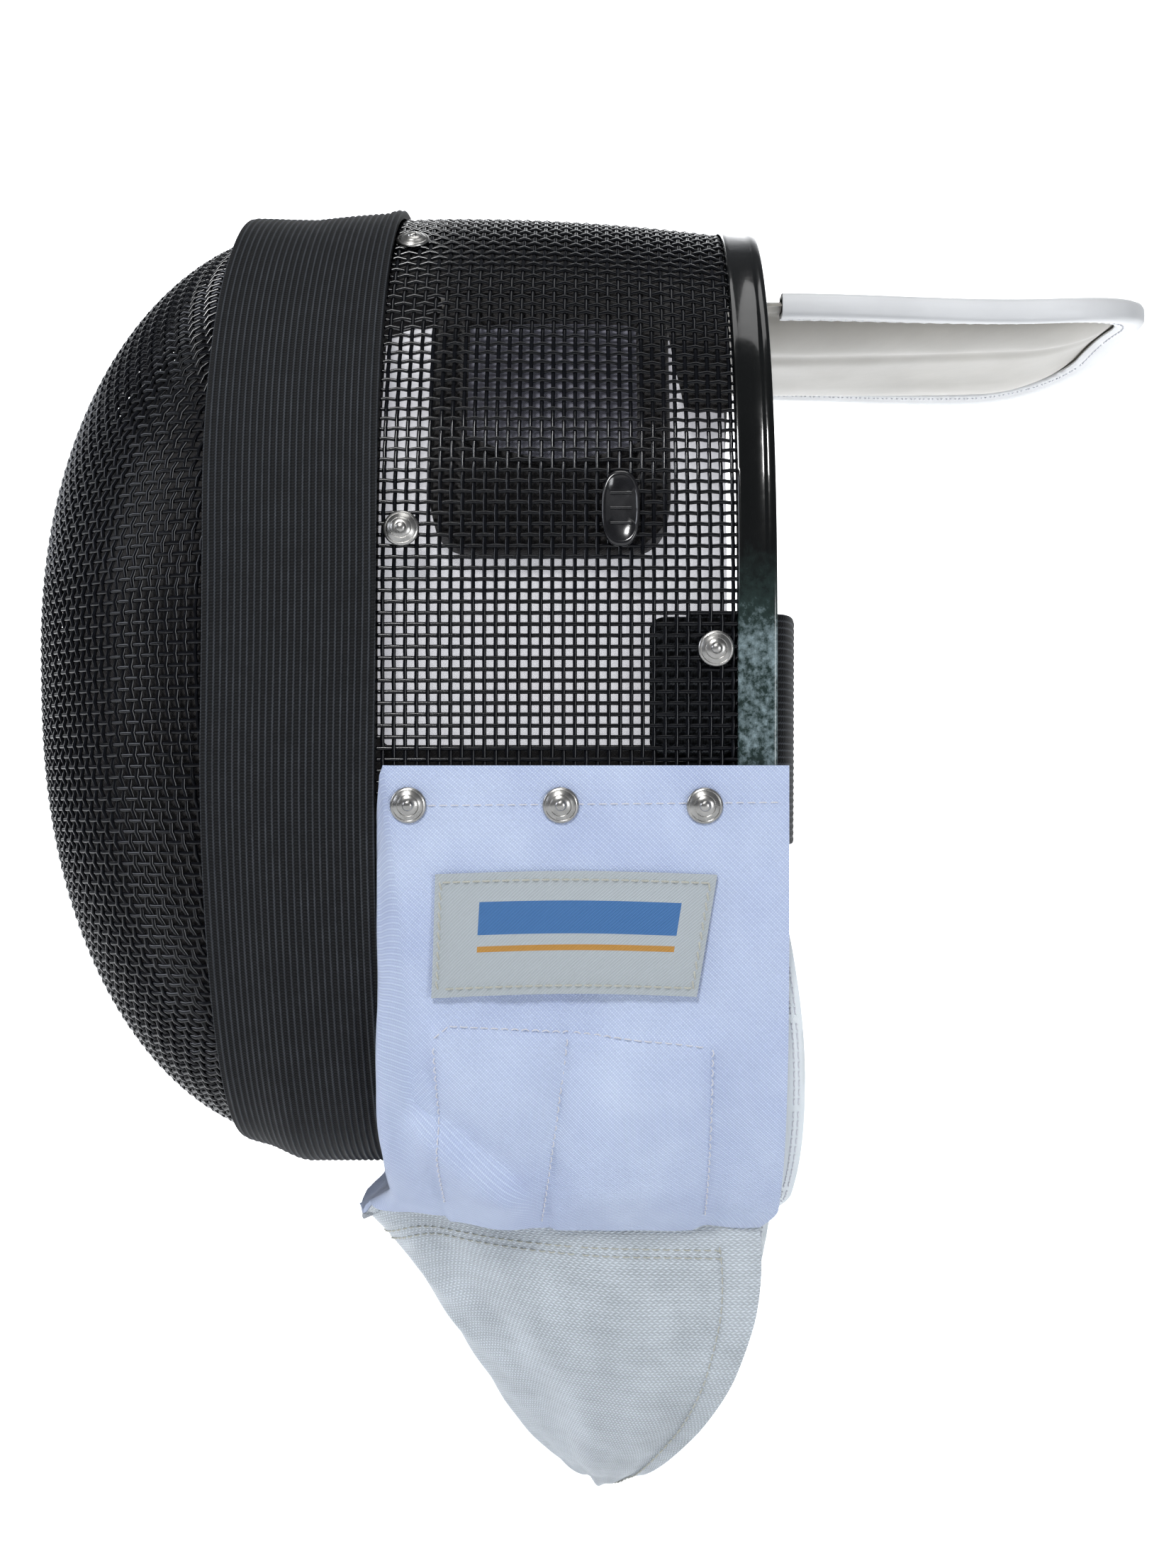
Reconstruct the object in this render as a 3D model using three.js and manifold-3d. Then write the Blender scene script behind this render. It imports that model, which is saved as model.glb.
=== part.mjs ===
import * as THREE from 'three';
import { mergeVertices } from 'three/addons/utils/BufferGeometryUtils.js';
import Module from 'manifold-3d';

// Fencing mask, in millimetres. +Z is up, the face looks along -Y, and +X is the wearer's left.
// The origin is the place on the padded tongue's underside where the crown of the head sits.

// Wire mesh body: a dome in front and a wrapped side panel behind it
const meshHalfWidth = 95;
const crownRise = 142;          // from the widest level up to the highest place of the crown
const chinDrop = 159;           // from the widest level down to the chin
const widestLevel = -85;
const crownY = -40;             // where the crown stands highest
const crownFallFront = 3;       // how much lower the crown is at the joint
const crownFallRear = 4;        // how much lower the crown is at the rim
const upperPower = 2.1;         // 2 is an ellipse, more is squarer
const lowerPower = 3;
const domePower = 2.03;
const jointY = -85;             // where dome and side panel meet
const domeDepth = 91;
const meshWall = 2;
const clearance = 0.3;
const facetSlack = 0.6;         // extra room where two curved faces have different facets

// Rim: a folded metal strip round the rear edge of the mesh
const rimY = 51.6;
const rimWidth = 10.6;
const rimSheet = 1.2;
const rimRoll = 0.7;            // how far the rolled back edge stands out of the strip
const jawLevel = -190;          // below it the rear edge sweeps forward
const chinRearY = -45;          // rear edge under the chin

// Elastic band over the joint
const bandFrontY = -106;
const bandRearY = -58;
const bandThickness = 2;
const bandSelvedge = 0.7;       // extra thickness of the rear edge
const bandSelvedgeWidth = 4;

// Bib: collar, apron and inner bib
const clothWall = 1.5;
const collarTopLevel = -122;
const collarRearY = 54.5;
const collarHalfWidth = 66;     // at its lower edge
const collarFrontY = -74;
const collarHemDrop = 11;       // from the chin down to the lower edge at the sides
const collarFrontDrop = 23;     // and to the lower edge in front
const collarHang = 5;           // the higher, the straighter the collar hangs before it turns in
const frontHang = 2;            // the same in front, beside the chin
const bibPower = 2.6;
const apronTuck = 9;
const apronTipY = 8.6;
const apronLength = 100;        // from the collar's lower edge down to the tip
const innerBibTop = -166;
const innerBibDrop = 17;        // from the collar's lower edge down to its own
const innerBibFrontY = 6;
const innerBibTurn = 2;         // how far from the collar's rear edge it starts to bulge
const innerBibReach = 8;        // how far its rear edge bulges behind the collar

// Levels that follow the chin
const chinLevel = widestLevel - chinDrop;
const collarHemLevel = chinLevel - collarHemDrop;
const collarFrontHem = chinLevel - collarFrontDrop;
const apronTipLevel = collarHemLevel - apronLength;
const innerBibHem = collarHemLevel - innerBibDrop;

// Woven label and size tag
const labelLength = 79;
const labelHeight = 33;
const labelY = -3;
const labelLevel = -168;
const labelWall = 0.8;
const tagWidth = 10.6;
const tagHeight = 21.5;
const tagY = 9;
const tagLevel = -51.4;
const tagWall = 1.8;

// Rivets
const rivetRadius = 5;
const rivetDome = 2.4;
const rivetShank = 1.8;
const rivetWasher = 3.6;
const rivetWasherHeight = 1.1;
const collarRivetLevel = -132.6;
const collarRivetRoom = 0.5;    // between the cap and the cloth under it
const collarRivetYs = { front: -48.9, middle: -7.4, rear: 31.6 };
const meshRivetY = -51.2;
const meshRivetLevel = -57;
const tabRivetY = 35;
const tabRivetLevel = -90;
const crownRivetY = -52.6;      // they stand over the tongue's front corners

// Padded tongue
const tongueHalfWidth = 55;
const tongueFrontY = -50;
const tongueTipY = 178;
const tongueCorner = 38;
const tongueThickness = 13;
const tongueEdgeThickness = 9;
const tongueLift = 19;          // tip of the underside above the head seat
const bindingWall = 1.2;
const bindingReach = 9;
const bindingFrontY = 58;

// Padding, tabs and strap inside
const templePadWall = 8;
const templePad = { frontY: -44, rearY: 23, top: 18, foot: -62, corner: 14 };
const liningWall = 2;
const sideLining = { frontY: -55, rearY: 39, top: 8, foot: -119, corner: 16 };
const tabWall = 2;
const strapTab = { frontY: 17, rearY: rimY - rimWidth - clearance, top: -81, foot: -119, corner: 3 };
const strapWall = 2;
const strapFrontY = 28;
const strapTop = -80;
const strapFoot = -144;
const strapBow = 14;            // how far its middle stands behind the rim

// Facets
const aroundSteps = 40;
const domeSteps = 7;
const sideSteps = 6;
const apronSteps = 8;
const rivetSides = 8;

// Sections of the apron from its top to its tip, as shares of its drop, depth and half-width
const apronSections = [
  { drop: 0.00, front: 0.00, rear: 0.00, half: 1.00 },
  { drop: 0.20, front: 0.11, rear: -0.05, half: 0.99 },
  { drop: 0.38, front: 0.24, rear: -0.02, half: 0.95 },
  { drop: 0.57, front: 0.43, rear: 0.12, half: 0.86 },
  { drop: 0.76, front: 0.59, rear: 0.30, half: 0.69 },
  { drop: 0.90, front: 0.73, rear: 0.57, half: 0.45 },
  { drop: 0.97, front: 0.85, rear: 0.80, half: 0.25 },
  { drop: 1.00, front: 0.96, rear: 0.96, half: 0.06 },
];

// Soft folds of the collar and apron: place along the bib from its rear edge (0) to the middle of
// its front (1), share of the way down, and width and depth as shares of the fold sizes
const foldWidth = 0.12;
const foldDepth = 2.2;
const collarFolds = [
  { along: 0.62, down: 0.75, width: 0.8, depth: 0.8 },
  { along: 0.78, down: 0.80, width: 0.6, depth: -0.9 },
  { along: 0.90, down: 0.70, width: 0.6, depth: 0.7 },
  { along: 0.14, down: 0.75, width: 1.0, depth: -0.7 },
];
const apronFolds = [
  { along: 0.50, down: 0.25, width: 1.2, depth: -1.2 },
  { along: 0.70, down: 0.30, width: 0.8, depth: 1.0 },
  { along: 0.84, down: 0.20, width: 0.7, depth: -1.1 },
  { along: 0.28, down: 0.60, width: 1.3, depth: 0.9 },
];

// Tongue rows from front to tip: place as a share of its length, height of the underside's middle
// as a share of its lift, and the arch across its width as a share of its half-width
const tongueRows = [
  { along: 0.22, lift: 0.00, arch: 0.15 },
  { along: 0.33, lift: 0.34, arch: 0.14 },
  { along: 0.44, lift: 0.82, arch: 0.14 },
  { along: 0.55, lift: 0.93, arch: 0.15 },
  { along: 0.75, lift: 0.97, arch: 0.17 },
  { along: 1.00, lift: 1.00, arch: 0.18 },
];

const wasm = await Module();
wasm.setup();

const finishes = {
  meshBlack: new THREE.MeshStandardMaterial({ color: 0x17181b, roughness: 0.3, metalness: 0.6 }),
  rimBlack: new THREE.MeshStandardMaterial({ color: 0x101113, roughness: 0.2, metalness: 0.8 }),
  elasticBlack: new THREE.MeshStandardMaterial({ color: 0x15161a, roughness: 0.9, metalness: 0 }),
  collarWhite: new THREE.MeshStandardMaterial({ color: 0xd9dbe4, roughness: 0.85, metalness: 0 }),
  apronSilver: new THREE.MeshStandardMaterial({ color: 0x9da0a6, roughness: 0.6, metalness: 0.3 }),
  innerWhite: new THREE.MeshStandardMaterial({ color: 0xe6e8ec, roughness: 0.8, metalness: 0 }),
  vinylWhite: new THREE.MeshStandardMaterial({ color: 0xe4e5e8, roughness: 0.45, metalness: 0 }),
  labelGrey: new THREE.MeshStandardMaterial({ color: 0xc9cbd0, roughness: 0.5, metalness: 0 }),
  tagBlack: new THREE.MeshStandardMaterial({ color: 0x0c0c0e, roughness: 0.2, metalness: 0 }),
  rivetSilver: new THREE.MeshStandardMaterial({ color: 0xd0d2d4, roughness: 0.2, metalness: 1 }),
  padBlack: new THREE.MeshStandardMaterial({ color: 0x1c1a1b, roughness: 0.95, metalness: 0 }),
};

const mask = new THREE.Group();

function lerp(from, to, share) {
  return from + (to - from) * share;
}

function smooth(share) {
  const held = Math.min(1, Math.max(0, share));
  return held * held * (3 - 2 * held);
}

function steps(count) {
  return Array.from({ length: count + 1 }, (_, index) => index / count);
}

// A closed body lofted through rings of points. Open lofts get ends that join each ring to itself
// from both sides, which suits thin walls and convex sections.
function loft(rings, closed) {
  const size = rings[0].length;
  const positions = rings.flat(2);
  const at = (ring, point) => (ring % rings.length) * size + (point % size);
  const corners = [];
  const add = (a, b, c) => {
    const gap = (p, q, axis) => Math.abs(positions[3 * p + axis] - positions[3 * q + axis]);
    const apart = (p, q) => [0, 1, 2].some((axis) => gap(p, q, axis) > 2e-3);
    if (apart(a, b) && apart(b, c) && apart(c, a)) corners.push(a, b, c);
  };
  const last = closed ? rings.length : rings.length - 1;
  for (let ring = 0; ring < last; ring += 1) {
    for (let point = 0; point < size; point += 1) {
      const quad = [at(ring, point), at(ring, point + 1), at(ring + 1, point + 1), at(ring + 1, point)];
      // The two faces of a wall are divided alike, so that it keeps its thickness
      if (point >= size / 2 - 1) quad.push(quad.shift());
      add(quad[0], quad[1], quad[2]);
      add(quad[0], quad[2], quad[3]);
    }
  }
  if (!closed) {
    for (const [ring, turned] of [[0, true], [rings.length - 1, false]]) {
      for (let near = 0, far = size - 1; near < far - 1; near += 1, far -= 1) {
        const quad = [at(ring, near), at(ring, near + 1), at(ring, far - 1), at(ring, far)];
        if (turned) quad.reverse();
        add(quad[0], quad[1], quad[2]);
        add(quad[0], quad[2], quad[3]);
      }
    }
  }
  return facingOut(positions, corners);
}

function facingOut(positions, corners) {
  let volume = 0;
  const corner = (index) => new THREE.Vector3().fromArray(positions, 3 * index);
  for (let k = 0; k < corners.length; k += 3) {
    volume += corner(corners[k]).dot(corner(corners[k + 1]).cross(corner(corners[k + 2])));
  }
  if (volume < 0) corners.reverse();
  const geometry = new THREE.BufferGeometry();
  geometry.setAttribute('position', new THREE.Float32BufferAttribute(positions, 3));
  geometry.setIndex(corners);
  return mergeVertices(geometry, 1e-3);
}

function asManifold(geometry) {
  return new wasm.Manifold(new wasm.Mesh({
    numProp: 3,
    vertProperties: new Float32Array(geometry.attributes.position.array),
    triVerts: new Uint32Array(geometry.index.array),
  }));
}

function asGeometry(manifold) {
  const { vertProperties, triVerts, numProp } = manifold.getMesh();
  const positions = [];
  for (let k = 0; k < vertProperties.length; k += numProp) {
    positions.push(vertProperties[k], vertProperties[k + 1], vertProperties[k + 2]);
  }
  const geometry = new THREE.BufferGeometry();
  geometry.setAttribute('position', new THREE.Float32BufferAttribute(positions, 3));
  geometry.setIndex([...triVerts]);
  return geometry;
}

function place(name, geometry, finish) {
  geometry.computeVertexNormals();
  const piece = new THREE.Mesh(geometry, finish);
  piece.name = name;
  mask.add(piece);
  return piece;
}

// The form of the wire mesh, shared by everything that lies on it

function crownAt(y) {
  const front = y < crownY;
  const reach = front ? jointY - crownY : rimY - crownY;
  const fall = front ? crownFallFront : crownFallRear;
  const share = Math.min(1, (y - crownY) / reach);
  return crownRise - fall * share * share;
}

function sectionPoint(angle, y, offset) {
  const up = Math.cos(angle) >= 0;
  const power = up ? upperPower : lowerPower;
  const across = Math.abs(Math.sin(angle)) / (meshHalfWidth + offset);
  const along = Math.abs(Math.cos(angle)) / ((up ? crownAt(y) : chinDrop) + offset);
  const radius = (across ** power + along ** power) ** (-1 / power);
  return [radius * Math.sin(angle), y, widestLevel + radius * Math.cos(angle)];
}

function halfWidthAt(level, y, offset) {
  const up = level >= widestLevel;
  const power = up ? upperPower : lowerPower;
  const share = Math.abs(level - widestLevel) / ((up ? crownAt(y) : chinDrop) + offset);
  return (meshHalfWidth + offset) * Math.max(0, 1 - share ** power) ** (1 / power);
}

function angleAt(level, y, offset) {
  return Math.atan2(halfWidthAt(level, y, offset), level - widestLevel);
}

function domePoint(slope, angle, offset) {
  const shrink = Math.max(0, Math.cos(slope)) ** (2 / domePower);
  const depth = Math.sin(slope) ** (2 / domePower);
  const [x, , z] = sectionPoint(angle, jointY, offset);
  const y = jointY - clearance / 2 - (domeDepth + offset) * depth;
  return [x * shrink, y, widestLevel + (z - widestLevel) * shrink];
}

const jawAngle = angleAt(jawLevel, rimY, 0);

function rearEdge(angle) {
  const share = (Math.abs(angle) - jawAngle) / (Math.PI - jawAngle);
  return lerp(rimY, chinRearY, smooth(share));
}

// How much longer the rim's strip is along Y where the edge runs aslant
function rearSlant(angle) {
  const step = 0.02;
  const before = sectionPoint(angle - step, 0, 0);
  const after = sectionPoint(angle + step, 0, 0);
  const travel = Math.hypot(after[0] - before[0], after[2] - before[2]);
  return Math.hypot(1, (rearEdge(angle + step) - rearEdge(angle - step)) / travel);
}

function aroundAngles() {
  return steps(aroundSteps).slice(0, -1).map((share) => Math.PI * (2 * share - 1));
}

// A thin wall over a rectangle of a surface: columns along u, rows along v
function sheet(us, vs, outer, inner) {
  const rings = us.map((u) => [
    ...vs.map((v) => outer(u, v)),
    ...[...vs].reverse().map((v) => inner(u, v)),
  ]);
  return loft(rings, false);
}

// Moves a surface point along the surface's own normal, which points away from the middle
function offsetFrom(surface, u, v, offset) {
  const step = 0.004;
  const vector = (a, b) => new THREE.Vector3(...surface(a, b));
  const low = (value) => Math.max(0, value - step);
  const high = (value) => Math.min(1, value + step);
  const alongU = vector(high(u), v).sub(vector(low(u), v));
  const alongV = vector(u, high(v)).sub(vector(u, low(v)));
  const normal = alongU.cross(alongV).normalize();
  return vector(u, v).addScaledVector(normal, offset).toArray();
}

// Wire mesh, rim and band

function frontMesh() {
  const rows = steps(domeSteps).map((share) => (share * Math.PI) / 2);
  const rings = aroundAngles().map((angle) => [
    ...rows.map((slope) => domePoint(slope, angle, 0)),
    ...[...rows].reverse().map((slope) => domePoint(slope, angle, -meshWall)),
  ]);
  return loft(rings, true);
}

function sideMesh() {
  const front = jointY + clearance / 2;
  const rings = aroundAngles().map((angle) => {
    const rear = rearEdge(angle) - (rimSheet + clearance) * rearSlant(angle);
    const ys = steps(sideSteps).map((share) => lerp(front, rear, share));
    return [
      ...ys.map((y) => sectionPoint(angle, y, 0)),
      ...[...ys].reverse().map((y) => sectionPoint(angle, y, -meshWall)),
    ];
  });
  return loft(rings, true);
}

// The strip's section: distance from the middle of the mesh wall, and distance from the back edge
function rimSection() {
  const inside = meshWall / 2 + clearance;
  const outside = inside + rimSheet;
  const rollEnd = rimSheet * 2.4;
  return [
    [inside, rimWidth], [outside, rimWidth], [outside, rollEnd], [outside + rimRoll, rimSheet],
    [outside, 0], [-outside, 0], [-outside - rimRoll, rimSheet], [-outside, rollEnd],
    [-outside, rimWidth], [-inside, rimWidth], [-inside, rimSheet], [inside, rimSheet],
  ];
}

function rim() {
  const rings = aroundAngles().map((angle) => rimSection().map(([out, forward]) => (
    sectionPoint(angle, rearEdge(angle) - forward * rearSlant(angle), out - meshWall / 2)
  )));
  return loft(rings, true);
}

const bandInside = clearance;
const bandBulk = bandInside + bandThickness + bandSelvedge;

// The band hugs the dome under the chin and stands off it over the crown
function bandPoint(angle, y, offset) {
  const [x, , z] = sectionPoint(angle, Math.max(y, jointY), offset);
  const depth = Math.max(0, jointY - y) / domeDepth;
  const hug = (1 - Math.cos(angle)) / 2;
  const shrink = 1 - hug * (1 - (1 - depth ** domePower) ** (1 / domePower));
  return [x * shrink, y, widestLevel + (z - widestLevel) * shrink];
}

function elasticBand() {
  const outer = bandInside + bandThickness;
  const ridge = outer + bandSelvedge;
  const selvedgeY = bandRearY - bandSelvedgeWidth;
  const overDome = steps(2).map((share) => lerp(bandFrontY, jointY, share));
  const section = [
    ...overDome.map((y) => [y, outer]),
    [selvedgeY, outer], [selvedgeY, ridge], [bandRearY, ridge],
    [bandRearY, bandInside], [selvedgeY, bandInside],
    ...[...overDome].reverse().map((y) => [y, bandInside]),
  ];
  return loft(aroundAngles().map((angle) => section.map(([y, offset]) => bandPoint(angle, y, offset))), true);
}

// Bib. Its surfaces run from the left rear edge (u 0) round the front to the right rear (u 1).

// The collar butts against the rear edge of the band
const collarFront = bandRearY + clearance + clothWall;
const cornerShare = 0.5;        // share of each half of the collar that is side panel

function collarStandOff(y) {
  const overRim = rimRoll + rimSheet + clearance + clearance + facetSlack;
  const rimFront = rimY - rimWidth;
  const share = (y - collarRivetYs.middle) / (rimFront - collarRivetYs.middle);
  return lerp(clearance + facetSlack, overRim, smooth(share));
}

function bibPlan(y, half, front, rear) {
  const share = Math.min(1, Math.max(0, (rear - y) / (rear - front)));
  return half * (1 - share ** bibPower) ** (1 / bibPower);
}

function foldLift(folds, along, down) {
  let lift = 0;
  for (const fold of folds) {
    const across = (along - fold.along) / (fold.width * foldWidth);
    const level = (down - fold.down) / 0.45;
    lift += fold.depth * foldDepth * Math.exp(-across * across - level * level);
  }
  return lift;
}

function collarTopEdge(along) {
  if (along <= cornerShare) {
    const y = lerp(collarRearY, collarFront, along / cornerShare);
    return [halfWidthAt(collarTopLevel, y, collarStandOff(y)), y, collarTopLevel];
  }
  const onMesh = clearance + 2 * facetSlack;
  const start = angleAt(collarTopLevel, collarFront, onMesh);
  const angle = lerp(start, Math.PI, (along - cornerShare) / (1 - cornerShare));
  return sectionPoint(angle, collarFront, onMesh);
}

function collarHemEdge(along) {
  const turnY = lerp(collarRearY, collarFrontY, 0.8);
  const fromCorner = (along - cornerShare) / (1 - cornerShare);
  if (fromCorner <= 0) {
    const y = lerp(collarRearY, turnY, along / cornerShare);
    return [bibPlan(y, collarHalfWidth, collarFrontY, collarRearY), y, collarHemLevel];
  }
  const x = bibPlan(turnY, collarHalfWidth, collarFrontY, collarRearY) * Math.max(0, 1 - fromCorner);
  const share = (1 - (x / collarHalfWidth) ** bibPower) ** (1 / bibPower);
  const y = lerp(collarRearY, collarFrontY, share);
  return [x, y, lerp(collarHemLevel, collarFrontHem, smooth(fromCorner))];
}

function mirrored(point, side) {
  return [point[0] * side, point[1], point[2]];
}

// Distance along one half of the bib, and which half
function halfOf(u) {
  return { along: 1 - Math.abs(2 * u - 1), side: u <= 0.5 ? 1 : -1 };
}

function collarSurface(u, v) {
  const { along, side } = halfOf(u);
  const top = collarTopEdge(along);
  const hem = collarHemEdge(along);
  // Where the hem lies further forward than the band, the cloth first drops below the band
  const bandFoot = (top[2] - (chinLevel - bandBulk - clothWall)) / (top[2] - hem[2]);
  const forward = Math.max(0, (v - bandFoot) / (1 - bandFoot)) ** 1.5;
  const easeY = hem[1] > top[1] ? 1 - (1 - v) ** 2 : forward;
  const fromCorner = Math.max(0, along - cornerShare) / (1 - cornerShare);
  const hang = lerp(collarHang, frontHang, Math.min(1, 2.5 * fromCorner));
  const ease = [v ** hang, easeY, v];
  return mirrored(top.map((value, axis) => lerp(value, hem[axis], ease[axis])), side);
}

function collarPoint(u, v, offset) {
  const { along } = halfOf(u);
  return offsetFrom(collarSurface, u, v, offset + foldLift(collarFolds, along, v) * smooth(v * 3 - 0.9));
}

function sectionAt(table, key, share) {
  const next = Math.min(table.length - 1, Math.max(1, table.findIndex((row) => row[key] >= share)));
  const from = table[next - 1];
  const to = table[next];
  const part = (share - from[key]) / (to[key] - from[key]);
  return Object.fromEntries(Object.keys(from).map((name) => [name, lerp(from[name], to[name], part)]));
}

// Share of the collar's height at which the apron starts, tucked in behind the hem
const apronStart = 1 - apronTuck / (collarTopLevel - collarHemLevel);
const bibColumns = steps(28);

// Rows of the collar, closer together where it turns in towards its hem
const collarRows = [0, 0.2, 0.4, 0.55, 0.68, 0.78, 0.86].map((share) => share * (apronStart / 0.93));
collarRows.push(apronStart, 1);

// Rows of the apron crowd towards its tip, so that its end is round
function apronSurface(u, v) {
  const { along, side } = halfOf(u);
  const row = sectionAt(apronSections, 'drop', Math.sin((v * Math.PI) / 2));
  const hem = collarHemEdge(along);
  const front = lerp(collarFrontY, apronTipY, row.front);
  const rear = lerp(collarRearY, apronTipY, row.rear);
  const y = lerp(rear, front, (collarRearY - hem[1]) / (collarRearY - collarFrontY));
  return mirrored([hem[0] * row.half, y, lerp(hem[2], apronTipLevel, row.drop)], side);
}

function bibCollar() {
  const face = (offset) => (u, v) => collarPoint(u, v, offset);
  return sheet(bibColumns, collarRows, face(clothWall), face(0));
}

// The first two rows of the apron lie behind the collar, and the rest hangs below it
function bibApron() {
  const tucked = [apronStart, 1];
  const wall = (u, row, offset) => {
    const behind = offset - clothWall - clearance;
    if (row < tucked.length) return collarPoint(u, tucked[row], behind);
    const v = (row - tucked.length + 1) / apronSteps;
    return offsetFrom(apronSurface, u, v, behind + foldLift(apronFolds, halfOf(u).along, v));
  };
  const rows = Array.from({ length: tucked.length + apronSteps }, (_, row) => row);
  return sheet(bibColumns, rows, (u, row) => wall(u, row, clothWall), (u, row) => wall(u, row, 0));
}

// Share along the collar of a place on its side panel
function collarAlong(y) {
  return (cornerShare * (collarRearY - y)) / (collarRearY - collarFront);
}

function collarDown(level) {
  return (level - collarTopLevel) / (collarHemLevel - collarTopLevel);
}

// Turns a left-hand share of the collar into its u, on either side
function collarU(along, side) {
  return side > 0 ? along / 2 : 1 - along / 2;
}

// The inner bib lies behind the collar and the apron, and its rear edge bulges past theirs
function innerBib(side) {
  const behind = clothWall + 2 * clearance + facetSlack;
  const start = collarDown(innerBibTop);
  const foot = collarDown(innerBibHem);
  const rows = [start, ...collarRows.filter((down) => down > start + 0.02), foot];
  const point = (share, down, offset) => {
    const bulge = innerBibReach * Math.sin((Math.PI * (down - start)) / (foot - start)) ** 0.8;
    const y = lerp(innerBibFrontY, collarRearY + bulge, share);
    const onCollar = Math.min(y, collarRearY - innerBibTurn);
    const at = collarPoint(collarU(collarAlong(onCollar), side), Math.min(1, down), offset - behind);
    const past = y - onCollar;
    const below = Math.max(0, down - 1) * (collarTopLevel - collarHemLevel);
    return [at[0] - side * (past * 0.35 + below * 0.15), at[1] + past, at[2] - below];
  };
  const face = (offset) => (share, down) => point(share, down, offset);
  return sheet(steps(7), rows, face(0), face(-clothWall));
}

// Label and size tag, on the wearer's left

function wovenLabel() {
  const from = collarAlong(labelY + labelLength / 2);
  const to = collarAlong(labelY - labelLength / 2);
  const point = (share, rise, offset) => {
    const level = lerp(labelLevel + labelHeight / 2, labelLevel - labelHeight / 2, rise);
    return collarPoint(collarU(lerp(from, to, share), 1), collarDown(level), clothWall + clearance + offset);
  };
  const face = (offset) => (share, rise) => point(share, rise, offset);
  return sheet(steps(6), steps(4), face(labelWall), face(0));
}

function meshSpot(y, level, offset, side) {
  return mirrored([halfWidthAt(level, y, offset), y, level], side);
}

function sizeTag() {
  const rings = steps(16).slice(0, -1).map((share) => {
    const turn = share * 2 * Math.PI;
    const y = tagY + (tagWidth / 2) * Math.cos(turn);
    const level = tagLevel + (tagHeight / 2) * Math.sin(turn);
    return { y, level };
  });
  const layer = (shrink, offset) => rings.map(({ y, level }) => (
    meshSpot(lerp(tagY, y, shrink), lerp(tagLevel, level, shrink), offset, 1)
  ));
  const top = clearance + tagWall;
  return loft([
    layer(0, clearance), layer(1, clearance), layer(1, top * 0.75), layer(0.8, top), layer(0, top),
  ], false);
}

// Rivets: a domed cap outside, a shank through the layers and a washer inside

function normalAt(point) {
  const level = point.z - widestLevel;
  const up = level >= 0;
  const power = up ? upperPower : lowerPower;
  const rise = up ? crownAt(point.y) : chinDrop;
  const across = (Math.abs(point.x) / meshHalfWidth) ** (power - 1) / meshHalfWidth;
  const along = (Math.abs(level) / rise) ** (power - 1) / rise;
  return new THREE.Vector3(Math.sign(point.x) * across, 0, Math.sign(level) * along).normalize();
}

function turnedTo(geometry, seat, normal) {
  const turn = new THREE.Quaternion().setFromUnitVectors(new THREE.Vector3(0, 0, 1), normal);
  return geometry.applyQuaternion(turn).translate(seat.x, seat.y, seat.z);
}

function lathed(profile, sides) {
  const rings = steps(sides).slice(0, -1).map((share) => {
    const turn = share * 2 * Math.PI;
    return profile.map(([radius, height]) => [radius * Math.cos(turn), radius * Math.sin(turn), height]);
  });
  return loft(rings, true);
}

// The seat is on the outermost layer, and depth is how far the layers reach below it
function rivet(seat, normal, depth) {
  const top = clearance;
  const foot = -depth - clearance - facetSlack;
  const profile = [
    [0, foot - rivetWasherHeight], [rivetWasher, foot - rivetWasherHeight], [rivetWasher, foot],
    [rivetShank, foot], [rivetShank, top], [rivetRadius, top], [rivetRadius * 0.94, top + rivetDome * 0.4],
    [rivetRadius * 0.6, top + rivetDome * 0.85], [0, top + rivetDome],
  ];
  return turnedTo(lathed(profile, rivetSides), seat, normal);
}

function rivetHole(seat, normal) {
  const reach = 25;
  const radius = rivetShank + clearance;
  const profile = [[0, -reach], [radius, -reach], [radius, reach], [0, reach]];
  return turnedTo(lathed(profile, rivetSides), seat, normal);
}

const sides = { left: 1, right: -1 };
const rivets = [];

function addRivet(name, seat, normal, depth, through) {
  rivets.push({ name, seat, normal, depth, through });
}

for (const [sideName, side] of Object.entries(sides)) {
  for (const [place, y] of Object.entries(collarRivetYs)) {
    const foot = new THREE.Vector3(...meshSpot(y, collarRivetLevel, 0, side));
    const normal = normalAt(foot);
    const stand = collarStandOff(y) + clothWall + collarRivetRoom;
    const seat = foot.clone().addScaledVector(normal, stand);
    const name = `collar_rivet_${place}_${sideName}`;
    addRivet(name, seat, normal, stand + meshWall, ['bib_collar', 'side_mesh']);
  }
  const meshSeat = new THREE.Vector3(...meshSpot(meshRivetY, meshRivetLevel, 0, side));
  addRivet(`mesh_rivet_${sideName}`, meshSeat, normalAt(meshSeat), meshWall, ['side_mesh']);
  const tabSeat = new THREE.Vector3(...meshSpot(tabRivetY, tabRivetLevel, 0, side));
  const tabDepth = meshWall + facetSlack + 2 * clearance + tabWall + strapWall;
  addRivet(`tab_rivet_${sideName}`, tabSeat, normalAt(tabSeat), tabDepth,
    ['side_mesh', `strap_tab_${sideName}`, 'rear_strap']);
  const crownAngle = Math.asin(Math.min(0.9, tongueHalfWidth / crownRise)) * side;
  const crownSeat = new THREE.Vector3(...sectionPoint(crownAngle, crownRivetY, 0));
  addRivet(`crown_rivet_${sideName}`, crownSeat, normalAt(crownSeat), meshWall, ['side_mesh']);
}

function drilled(name, geometry) {
  let body = asManifold(geometry);
  for (const { seat, normal, through } of rivets) {
    if (through.includes(name)) body = body.subtract(asManifold(rivetHole(seat, normal)));
  }
  return asGeometry(body);
}

// Padded tongue, lofted from its front end under the crown to its round tip behind

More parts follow.
